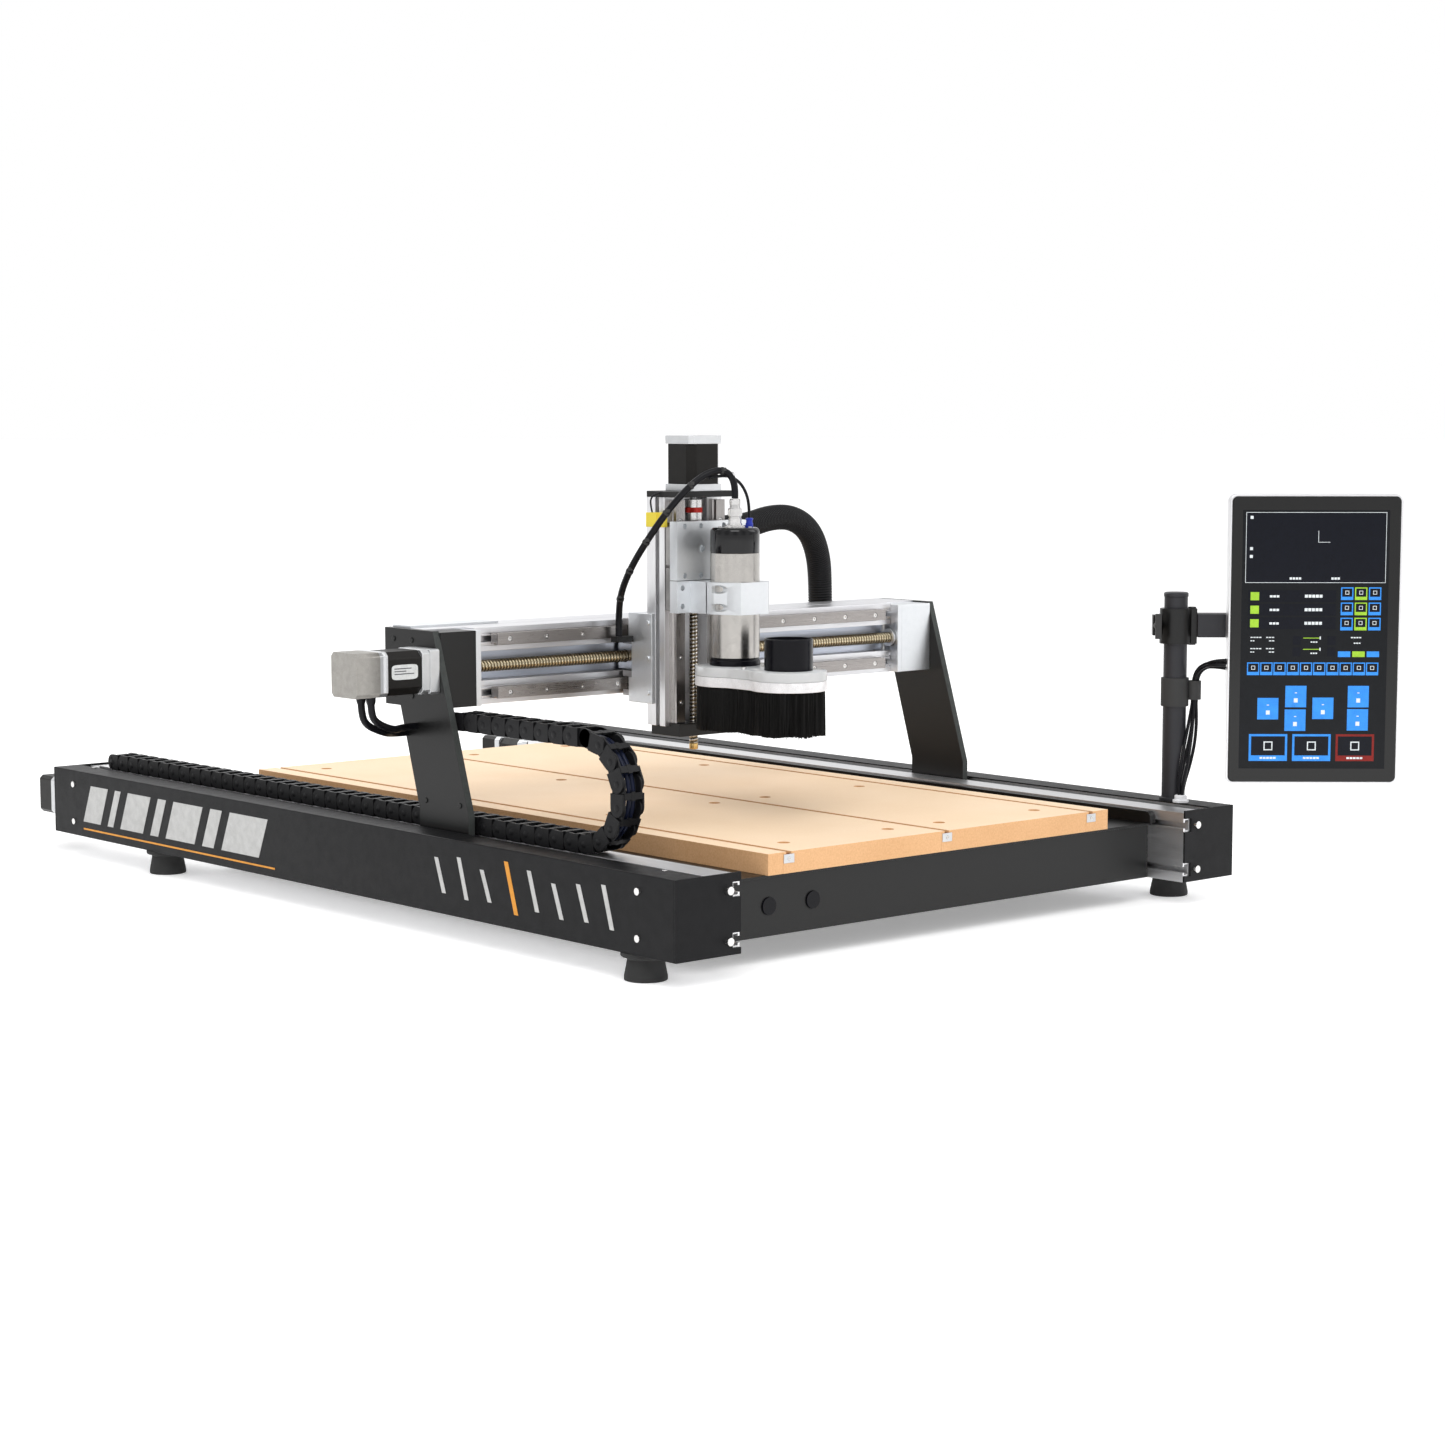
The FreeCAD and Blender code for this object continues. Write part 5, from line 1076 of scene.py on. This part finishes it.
# ---- Z carriage -----------------------------------------------------------------------
@dataclass
class Spindle:
    """Water-cooled style spindle in its clamp, on the Z plate."""

    x: float = -83.0
    y: float = 368.0
    radius: float = 32.5
    base: float = 341.0
    joint: float = 479.0
    top: float = 512.0
    collar_base: float = 331.0
    collar_radius: float = 33.6

    def build(self) -> None:
        """Dress the plate and clamp, and add the turned spindle."""
        dress("z_plate", MILLED, bevel=0.6)
        dress("z_bearing_blocks", BEARING, bevel=0.5)
        dress("spindle_clamp", MILLED, bevel=0.5)
        dress("collet", BRIGHT, bevel=0.3)
        centre = (self.x, self.y, 0.0)
        edge = 0.8
        steel = [(self.radius - edge, self.base), (self.radius, self.base + edge),
                 (self.radius, self.joint - edge),
                 (self.radius - edge, self.joint)]
        body = add_piece("spindle_shell", lathe(steel, centre, "z", 96), "z_carriage", TURNED)
        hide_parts("spindle_body")
        nose = self.collar_base
        collar = [(self.radius - 4.0, nose), (self.collar_radius - 1.0, nose),
                  (self.collar_radius, nose + 1.0),
                  (self.collar_radius, nose + 6.5), (self.radius - 0.6, nose + 8.0),
                  (self.radius - 0.6, self.base)]
        add_piece("spindle_collar", lathe(collar, centre, "z", 96), "z_carriage",
                  PORT_PLASTIC)
        turn = np.linspace(0.0, math.pi / 2, 8)
        shoulder = [(self.radius - 6.0 + 6.0 * math.cos(a), self.top - 6.0 + 6.0 * math.sin(a)) for a in turn]
        cap = [(self.radius - 0.3, self.joint),
               (self.radius, self.joint + 0.6)] + shoulder + [(10.0, self.top)]
        lid = add_piece("spindle_lid", lathe(cap, centre, "z", 96), "z_carriage", CAP_BLACK)
        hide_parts("spindle_cap")
        self._connector()

    def _connector(self) -> None:
        """Screw connector on the lid, with a knurled nut and a cable gland, and the blue air fitting."""
        centre = (self.x, self.y, self.top)
        seat = lathe([(14.0, 0.0), (14.0, 2.2), (13.2, 3.0), (9.6, 3.0), (9.6, 5.0)], centre, "z", 48)
        shell = [(8.6, 3.0), (8.6, 12.0), (8.0, 12.5), (8.0, 14.0), (9.0, 14.5), (9.0, 24.0), (8.4, 24.6),
                 (7.0, 24.6),
                 (6.6, 29.0), (7.2, 29.4), (7.2, 35.6), (6.2, 37.0), (4.6, 37.0)]
        add_piece("spindle_connector", seat.with_(lathe(shell, centre, "z", 48)), "z_carriage",
                  BRIGHT)
        angle = np.linspace(0.0, 2.0 * math.pi, 96, endpoint=False)
        size = 9.25 + 0.3 * np.cos(32.0 * angle)
        outline = np.stack([size * np.cos(angle) + self.x, size * np.sin(angle) + self.y], -1)
        knurl = prism(outline, self.top + 15.4, self.top + 23.0)
        add_piece("connector_nut", knurl, "z_carriage", BRIGHT, crease=25.0)
        fitting = lathe([(5.0, 0.0), (5.0, 5.0), (4.2, 5.6), (4.2, 9.0), (5.0, 9.4), (5.0, 11.4),
                         (2.4, 12.0)],
                        (-65.0, 360.0, self.top), "z", 32)
        add_piece("air_fitting", fitting, "z_carriage", BLUE)
        screws = screw_head(2.4, 1.0, 1.2, "z", 1.0, 18)
        turn = np.arange(4) * math.pi / 2 + 0.5
        places = np.stack([self.x + 21.0 * np.cos(turn), self.y + 21.0 * np.sin(turn),
                           np.full(4, self.top - 0.05)], -1)
        add_piece("lid_screws", screws.copied(places), "z_carriage", BRIGHT)


@dataclass
class DustShoe:
    """Clear plate, white strip, bristle skirt and hose port under the spindle."""

    x: float = -83.0
    rear_y: float = 368.0
    front_y: float = 263.0
    rear_radius: float = 53.0
    front_radius: float = 50.0
    waist: float = 42.0
    plate: tuple[float, float] = (318.0, 331.0)
    strip: tuple[float, float] = (305.0, 318.0)
    tips: float = 246.0
    port_radius: float = 31.5
    port_wall: float = 2.5
    port_top: float = 372.0
    strands: int = 640
    loose: int = 420
    seed: int = 7

    def outline(self, inset: float, columns: int) -> np.ndarray:
        """Two round lobes and the waist between them, resampled evenly and softened where they meet."""
        rear, front, waist = self.rear_radius - inset, self.front_radius - inset, self.waist - inset
        low = math.acos(waist / rear)
        high = math.acos(waist / front)
        back = np.linspace(-low, math.pi + low, 90)
        fore = np.linspace(math.pi - high, 2.0 * math.pi + high, 90)
        rear_arc = np.stack([rear * np.cos(back), self.rear_y + rear * np.sin(back)], -1)
        front_arc = np.stack([front * np.cos(fore), self.front_y + front * np.sin(fore)], -1)
        loop = np.concatenate([rear_arc, front_arc, rear_arc[:1]])
        run = np.concatenate([[0.0], np.cumsum(np.linalg.norm(np.diff(loop, axis=0), axis=1))])
        places = np.linspace(0.0, run[-1], columns, endpoint=False)
        even = np.stack([np.interp(places, run, loop[:, k]) for k in range(2)], -1)
        reach = max(1, columns // 60)
        soft = sum(np.roll(even, k, axis=0) for k in range(-reach, reach + 1)) / (2 * reach + 1)
        return soft + np.array((self.x, 0.0))

    def _band(self, inset: float, z_values: Sequence[float], columns: int) -> np.ndarray:
        """Rings of one outline at several heights."""
        flat = self.outline(inset, columns)
        return np.stack([np.column_stack([flat, np.full(columns, z)]) for z in z_values])

    def build(self) -> None:
        """Add the shoe's pieces."""
        low, high = self.plate
        columns = 160
        rim = np.concatenate([self._band(1.2, (low,), columns),
                              self._band(0.0, (low + 0.8, high - 0.8), columns),
                              self._band(1.2, (high,), columns)])
        plate = add_piece("shoe_plate", skin(rim), "z_carriage", ACRYLIC)
        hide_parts("dust_shoe_plate")
        self._strip(columns)
        self._bristles()
        self._port()
        clips = screw_head(4.0, 3.0, 2.0, "z", 1.0, 24)
        places = np.array([(self.x + side * 36.0, self.front_y + 46.0, high - 0.02) for side in (-1.0, 1.0)])
        add_piece("shoe_screws", clips.copied(places), "z_carriage", BRIGHT)

    def _strip(self, columns: int) -> None:
        """White holder: a hoop whose outer and inner walls are the outline and the outline drawn in."""
        low, high = self.strip
        rings = np.concatenate([self._band(0.2, (low + 0.5, high - 0.5), columns),
                                self._band(0.7, (high,), columns),
                                self._band(8.0, (high, low), columns), self._band(0.7, (low,), columns)])
        rings = np.concatenate([rings, rings[:1]])
        hoop = skin(rings, capped=False)
        weld = len(hoop.points) - columns
        hoop.faces = [np.where(f >= weld, f - weld, f) for f in hoop.faces]
        hoop.points = hoop.points[:weld]
        piece = add_piece("shoe_strip", hoop, "z_carriage", WHITE_STRIP)
        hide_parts("brush_strip")

    def _bristles(self) -> None:
        """Skirt ridged like packed bristles that ends at uneven heights, with loose strands over it."""
        rng = np.random.default_rng(self.seed)
        columns, rows = self.strands, 7
        low, high = self.tips, self.strip[0] + 1.0
        outer, inner = self.outline(3.0, columns), self.outline(7.0, columns)
        out = outer - inner
        out /= np.linalg.norm(out, axis=1, keepdims=True)
        ridge = rng.normal(0.0, 0.35, columns) + 0.3 * np.sin(np.arange(columns) * 0.9)
        ragged = np.abs(rng.normal(0.0, 1.1, columns)) + 0.8 * np.sin(np.arange(columns) * 0.11) + 0.8
        fall = np.linspace(0.0, 1.0, rows)[:, None]
        height = high - fall * (high - low - np.clip(ragged, 0.0, 5.0))
        wide = fall * (ridge + 0.6)
        face = np.concatenate([outer + wide[..., None] * out, height[..., None]], -1)
        back = np.concatenate([inner - wide[..., None] * out * 0.5, height[..., None] + 0.6], -1)[::-1]
        rings = np.concatenate([face, back, face[:1]])
        skirt = skin(rings, capped=False)
        weld = len(skirt.points) - columns
        skirt.faces = [np.where(f >= weld, f - weld, f) for f in skirt.faces]
        skirt.points = skirt.points[:weld]
        add_piece("shoe_bristles", skirt, "z_carriage", BRISTLE, crease=70.0)
        pick = rng.integers(0, columns, self.loose)
        lean = rng.normal(0.0, 1.2, self.loose)
        along = np.roll(outer, -1, axis=0) - outer
        along /= np.linalg.norm(along, axis=1, keepdims=True)
        size = rng.uniform(0.35, 0.7, self.loose)
        tip = low + rng.uniform(-0.6, 6.0, self.loose)
        levels = np.linspace(0.0, 1.0, 4)[:, None]
        outward = out[pick] * (0.3 + levels[..., None] * 1.3)
        sideways = along[pick] * (lean * levels ** 1.5)[..., None]
        line = outer[pick] + outward + sideways
        upright = high - levels * (high - tip)
        spine = np.concatenate([line, upright[..., None]], -1)
        taper = (size * (1.0 - 0.6 * levels))[..., None]
        corner = np.array([(1, 0), (0, 1), (-1, 0), (0, -1)], float)
        flat = corner[:, None, None, 0, None] * along[pick] + corner[:, None, None, 1, None] * out[pick]
        offset = np.concatenate([flat * taper[None], np.zeros((4, 4, self.loose, 1))], -1)
        strands = (spine[None] + offset).transpose(2, 1, 0, 3)
        pieces = [skin(strand) for strand in strands]
        add_piece("loose_bristles", pieces[0].with_(*pieces[1:]), "z_carriage", BRISTLE)

    def _port(self) -> None:
        """Open black tube: outer wall up, rounded lip, inner wall down."""
        outer, inner = self.port_radius, self.port_radius - self.port_wall
        base, top = self.plate[1], self.port_top
        profile = [(outer, base), (outer, top - 0.8), (outer - 0.8, top), (inner + 0.8, top),
                   (inner, top - 0.8),
                   (inner, base + 0.3)]
        tube_piece = lathe(profile, (self.x, self.front_y, 0.0), "z", 80)
        piece = add_piece("hose_port", tube_piece, "z_carriage", PORT_PLASTIC)
        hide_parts("dust_port")


# ---- monitor --------------------------------------------------------------------------
@dataclass
class Monitor:
    """Pole, arm and touch screen with a plain generic control layout."""

    pole_x: float = 475.0
    pole_y: float = 89.0
    turn: float = math.radians(-42.5)
    glass_left: float = 67.0
    glass_top: float = 549.0
    glass_face: float = -55.0
    lift: float = 0.12

    def place(self, local: np.ndarray) -> np.ndarray:
        """Screen coordinates (along the arm, backwards, up) to the machine's, by a turn about the pole."""
        x, y, z = local[..., 0], local[..., 1], local[..., 2]
        cos, sin = math.cos(self.turn), math.sin(self.turn)
        return np.stack([self.pole_x + x * cos - y * sin, self.pole_y + x * sin + y * cos, z], -1)

    def tile(self, x: float, y: float, width: float, height: float, level: int) -> Surface:
        """Flat tile on the glass, measured from its top left corner, standing proud by its level."""
        left, top = self.glass_left + x, self.glass_top - y
        front = self.glass_face - self.lift * level
        local = block((left, front, top - height), (left + width, self.glass_face + 0.05, top))
        return Surface(self.place(local.points), local.faces)

    def frame_tile(self, x: float, y: float, width: float, height: float, border: float,
                   level: int) -> list[Surface]:
        """Four thin tiles that make an open frame."""
        return [self.tile(x, y, width, border, level),
                self.tile(x, y + height - border, width, border, level),
                self.tile(x, y + border, border, height - 2 * border, level),
                self.tile(x + width - border, y + border, border, height - 2 * border, level)]

    def build(self) -> None:
        """Dress the mount and screen and lay out the picture on it."""
        dress("monitor_pole", BLACK_TUBE, bevel=0.5)
        dress("cable_clip", PLASTIC, bevel=0.4)
        dress("pole_clamp", PLATE, bevel=0.6)
        dress("monitor_arm", BLACK_TUBE, bevel=0.7)
        dress("clamp_knob", PLASTIC, bevel=0.8)
        dress("screen_housing", ALUMINIUM_Z, bevel=1.4)
        dress("screen_glass", SCREEN_GLASS, bevel=0.8)
        self._picture()
        self._cables()

    def _picture(self) -> None:
        """Tiles of the control screen, by colour: view window, readouts, icon rows, pads and buttons."""
        panel = [self.tile(14.0, 18.0, 197.0, 350.0, 1)]
        inset = [self.tile(19.0, 22.0, 187.5, 93.5, 2)]
        blue: list[Surface] = []
        green: list[Surface] = []
        red: list[Surface] = []
        white = self.frame_tile(18.4, 21.0, 188.4, 95.0, 0.6, 3)
        white += [self.tile(115.5, 46.0, 0.6, 15.0, 3), self.tile(115.5, 61.0, 16.0, 0.6, 3)]
        white += [self.tile(24.0, y, 4.0, 4.0, 3) for y in (26.0, 68.0, 78.5)]
        white += self._dashes(78.0, 108.6, 4) + self._dashes(134.0, 108.6, 3)
        for row in range(3):
            y = 128.5 + 18.3 * row
            inset.append(self.tile(23.0, y - 2.6, 118.0, 16.0, 2))
            green.append(self.tile(26.0, y, 11.5, 11.0, 3))
            white += self._dashes(52.0, y + 4.2, 3, 3.6) + self._dashes(99.0, y + 3.4, 5, 4.0, 4.0)
            for column in range(3):
                colour = green if column == 1 else blue
                self._button(colour, inset, white, 147.5 + 18.7 * column, 122.0 + 20.5 * row, 16.5, 17.0)
        for row in range(2):
            y = 189.0 + 15.2 * row
            white += self._dashes(27.0, y, 4, 3.0, 1.4) + self._dashes(48.0, y, 3, 3.0, 1.4)
            white += self._dashes(27.0, y + 4.6, 2, 2.2, 1.4) + self._dashes(52.0, y + 4.6, 2, 3.0, 1.4)
            inset += [self.tile(84.0, y - 1.0, 11.0, 12.0, 2), self.tile(130.5, y - 1.0, 11.0, 12.0, 2)]
            green.append(self.tile(98.0, y + 1.0, 22.0, 1.0, 3))
            white += [self.tile(120.0, y - 0.6, 1.6, 4.0, 4)] + self._dashes(108.0, y + 6.0, 3, 2.4, 1.8)
        for column, colour in enumerate((blue, green, blue)):
            colour.append(self.tile(145.0 + 19.4 * column, 208.5, 16.6, 7.6, 3))
        white += self._dashes(162.0, 189.0, 4, 2.8, 1.6) + self._dashes(166.0, 196.6, 3, 2.4, 1.6)
        for column in range(10):
            self._button(blue, inset, white, 23.0 + 17.8 * column, 223.6, 16.6, 17.2)
        for x, y in ((38.0, 271.8), (75.4, 255.2), (75.0, 287.4), (112.2, 271.2), (159.6, 255.2),
                     (159.2, 286.8)):
            blue.append(self.tile(x, y, 28.3, 29.2, 3))
            white += [self.tile(x + 12.7, y + 9.0, 3.0, 1.2, 4), self.tile(x + 11.6, y + 17.0, 5.2, 5.6, 4)]
        for column, colour in enumerate((blue, blue, red)):
            self._button(colour, inset, white, 27.4 + 58.6 * column, 321.0, 51.8, 36.6, 3.0, 7.6)
        for name, tiles, finish in (("screen_panel_tiles", panel, UI_PANEL),
                                    ("screen_inset_tiles", inset, UI_DARK),
                                    ("screen_blue_tiles", blue, UI_BLUE),
                                    ("screen_green_tiles", green, UI_GREEN),
                                    ("screen_red_tiles", red, UI_RED),
                                    ("screen_white_tiles", white, UI_WHITE)):
            add_piece(name, tiles[0].with_(*tiles[1:]), "screen", finish)

    def _button(self, colour: list[Surface], inset: list[Surface], white: list[Surface], x: float, y: float,
                width: float, height: float, border: float = 1.5, foot: float = 4.4) -> None:
        """Framed button: a coloured tile, a dark window in it and a plain ring mark in the window."""
        colour.append(self.tile(x, y, width, height, 3))
        window = height - border - foot
        inset.append(self.tile(x + border, y + border, width - 2 * border, window, 4))
        size = 0.46 * window
        left, low = x + (width - size) / 2, y + border + (window - size) / 2
        white += self.frame_tile(left, low, size, size, max(0.7, 0.12 * size), 5)
        if foot > 6.0:
            white += self._dashes(x + width / 2 - 11.0, y + height - foot + 2.2, 5, 3.6, 2.6, 4)

    def _dashes(self, x: float, y: float, count: int, width: float = 3.2, height: float = 3.0,
                level: int = 3) -> list[Surface]:
        """Short bars that stand for digits."""
        return [self.tile(x + k * (width + 0.9), y, width, height, level) for k in range(count)]

    def _cables(self) -> None:
        """Four black cables and a white one from the screen's edge, through the clip, to the rail cover."""
        route = [(493.1, 14.8, 321.5), (482.1, 25.8, 322.5), (493.0, 58.0, 315.0), (492.0, 68.0, 299.0),
                 (492.0, 68.0, 263.0), (487.0, 68.0, 223.0), (472.0, 65.0, 181.0), (464.0, 66.0, 153.0),
                 (464.0, 66.0, 131.2)]
        line = smooth_route(route, 4.0)
        side, up = path_axes(line, (1, 0, 0))
        run = np.linspace(0.0, 1.0, len(line))
        bulge = 1.6 * np.sin(math.pi * np.clip((run - 0.42) / 0.55, 0.0, 1.0))
        fan = 1.2 * np.clip(0.12 - run, 0, 1) / 0.12
        spread = 1.0 + bulge + fan
        strands = []
        for turn in (0.3, 1.75, 3.3, 4.8):
            twist = (turn + 1.2 * run)[:, None]
            shift = 2.7 * spread[:, None] * (np.cos(twist) * side + np.sin(twist) * up)
            strands.append(tube(line + shift, 2.3, (1, 0, 0), 12))
        bundle = add_piece("monitor_leads", strands[0].with_(*strands[1:]), "", CABLE)
        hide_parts("monitor_cables")
        twist = (2.6 + 2.0 * run)[:, None]
        shift = 3.2 * spread[:, None] * (np.cos(twist) * side + np.sin(twist) * up)
        thin = add_piece("monitor_white_lead", tube(line + shift, 1.0, (1, 0, 0), 10), "",
                         WHITE_CABLE)
        for piece in (bundle, thin):
            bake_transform(piece)
        gland = lathe([(11.0, 0.0), (11.0, 3.0), (8.5, 4.0), (8.5, 9.0), (7.0, 10.0)], (464.0, 66.0, 130.8),
                      "z", 32)
        add_piece("pole_base_gland", gland, "root", WHITE_STRIP)


# ---- stage ----------------------------------------------------------------------------
@dataclass
class Studio:
    """White room, pale floor, soft lights and the camera."""

    camera_place: Point = (-2.666, -3.206, 0.667)
    azimuth: float = math.radians(41.40)
    pitch: float = math.radians(-6.46)
    lens: float = 74.32
    shift: tuple[float, float] = (-0.01354, 0.01615)

    def build(self) -> None:
        """Add everything that isn't the object."""
        self._floor()
        self._world()
        self._light("key", (-2.2, -2.6, 3.4), 2.6, 85.0)
        self._light("fill", (2.8, -2.4, 2.2), 2.4, 34.0)
        self._light("back", (0.4, 3.2, 3.0), 2.8, 50.0)
        self._camera()

    def _floor(self) -> None:
        """Large pale disc at floor level."""
        angle = np.linspace(0.0, 2.0 * math.pi, 96, endpoint=False)
        ring = np.stack([60.0 * np.cos(angle), 60.0 * np.sin(angle), np.zeros(96)], -1)
        mesh = bpy.data.meshes.new("floor")
        mesh.from_pydata(ring.tolist(), [], [list(range(96))])
        finish = Finish("pale_floor", (0.93, 0.93, 0.93), (0.9, 0.9, 0.9), smooth=0.6, rough=0.75,
                        fineness=0.02,
                        relief=0.0, wear=0.0, specular=0.2, glow=0.35)
        mesh.materials.append(finish.material())
        floor = bpy.data.objects.new("floor", mesh)
        bpy.context.scene.collection.objects.link(floor)

    def _world(self) -> None:
        """White for the camera; for reflections a room of soft upright bands, brighter overhead."""
        world = bpy.data.worlds.new("studio")
        world.use_nodes = True
        bpy.context.scene.world = world
        tree = world.node_tree
        background = tree.nodes["Background"]
        coordinates = add_node(tree, "ShaderNodeTexCoord")
        parts = add_node(tree, "ShaderNodeSeparateXYZ")
        tree.links.new(coordinates.outputs["Generated"], parts.inputs[0])
        ramp = add_node(tree, "ShaderNodeValToRGB")
        ramp.color_ramp.elements[0].color = (0.95, 0.95, 0.96, 1.0)
        ramp.color_ramp.elements[1].color = (1.15, 1.15, 1.15, 1.0)
        ramp.color_ramp.elements[1].position = 0.75
        middle = ramp.color_ramp.elements.new(0.28)
        middle.color = (0.85, 0.85, 0.86, 1.0)
        bearing = arithmetic(tree, "ARCTAN2", parts.outputs["Y"], parts.outputs["X"])
        wave = arithmetic(tree, "SINE", arithmetic(tree, "MULTIPLY", bearing, 9.0), 0.0)
        bands = add_node(tree, "ShaderNodeMapRange")
        bands.inputs["From Min"].default_value = -1.0
        bands.inputs["To Min"].default_value = 0.55
        bands.inputs["To Max"].default_value = 1.05
        tree.links.new(wave, bands.inputs["Value"])
        room = add_node(tree, "ShaderNodeVectorMath", operation="SCALE")
        tree.links.new(ramp.outputs["Color"], room.inputs[0])
        tree.links.new(bands.outputs["Result"], room.inputs["Scale"])
        tree.links.new(parts.outputs["Z"], ramp.inputs[0])
        path = add_node(tree, "ShaderNodeLightPath")
        mix = add_node(tree, "ShaderNodeMix", data_type="RGBA")
        tree.links.new(path.outputs["Is Camera Ray"], mix.inputs["Factor"])
        tree.links.new(room.outputs["Vector"], mix.inputs["A"])
        mix.inputs["B"].default_value = (1.0, 1.0, 1.0, 1.0)
        tree.links.new(mix.outputs["Result"], background.inputs["Color"])
        bpy.context.scene.view_settings.view_transform = "Standard"

    def _light(self, name: str, place: Point, size: float, power: float) -> None:
        """Square area light turned to the machine's middle."""
        light = bpy.data.lights.new(name, "AREA")
        light.shape = "SQUARE"
        light.size = size
        light.energy = power
        lamp = bpy.data.objects.new(name, light)
        lamp.location = place
        lamp.rotation_euler = (Vector((0.0, 0.0, 0.25)) - Vector(place)).to_track_quat("-Z", "Y").to_euler()
        bpy.context.scene.collection.objects.link(lamp)

    def _camera(self) -> None:
        """Camera that looks at the machine from its front left."""
        camera = bpy.data.cameras.new("camera")
        camera.lens = self.lens
        camera.sensor_width = 36.0
        camera.shift_x, camera.shift_y = self.shift
        camera.clip_end = 200.0
        holder = bpy.data.objects.new("camera", camera)
        holder.location = self.camera_place
        ahead = Vector((math.sin(self.azimuth) * math.cos(self.pitch),
                        math.cos(self.azimuth) * math.cos(self.pitch),
                        math.sin(self.pitch)))
        holder.rotation_euler = ahead.to_track_quat("-Z", "Y").to_euler()
        bpy.context.scene.collection.objects.link(holder)
        bpy.context.scene.camera = holder


def main() -> None:
    """Build every sub-assembly in order."""
    logging.basicConfig(level=logging.INFO, format="%(name)s: %(message)s")
    for assembly in (BaseFrame(), CableChain(), Gantry(), XCarriage(), Spindle(), DustShoe(), Lines(),
                     Monitor(), Studio()):
        assembly.build()
        log.info("%s done", type(assembly).__name__)


if __name__ == "__main__":
    main()
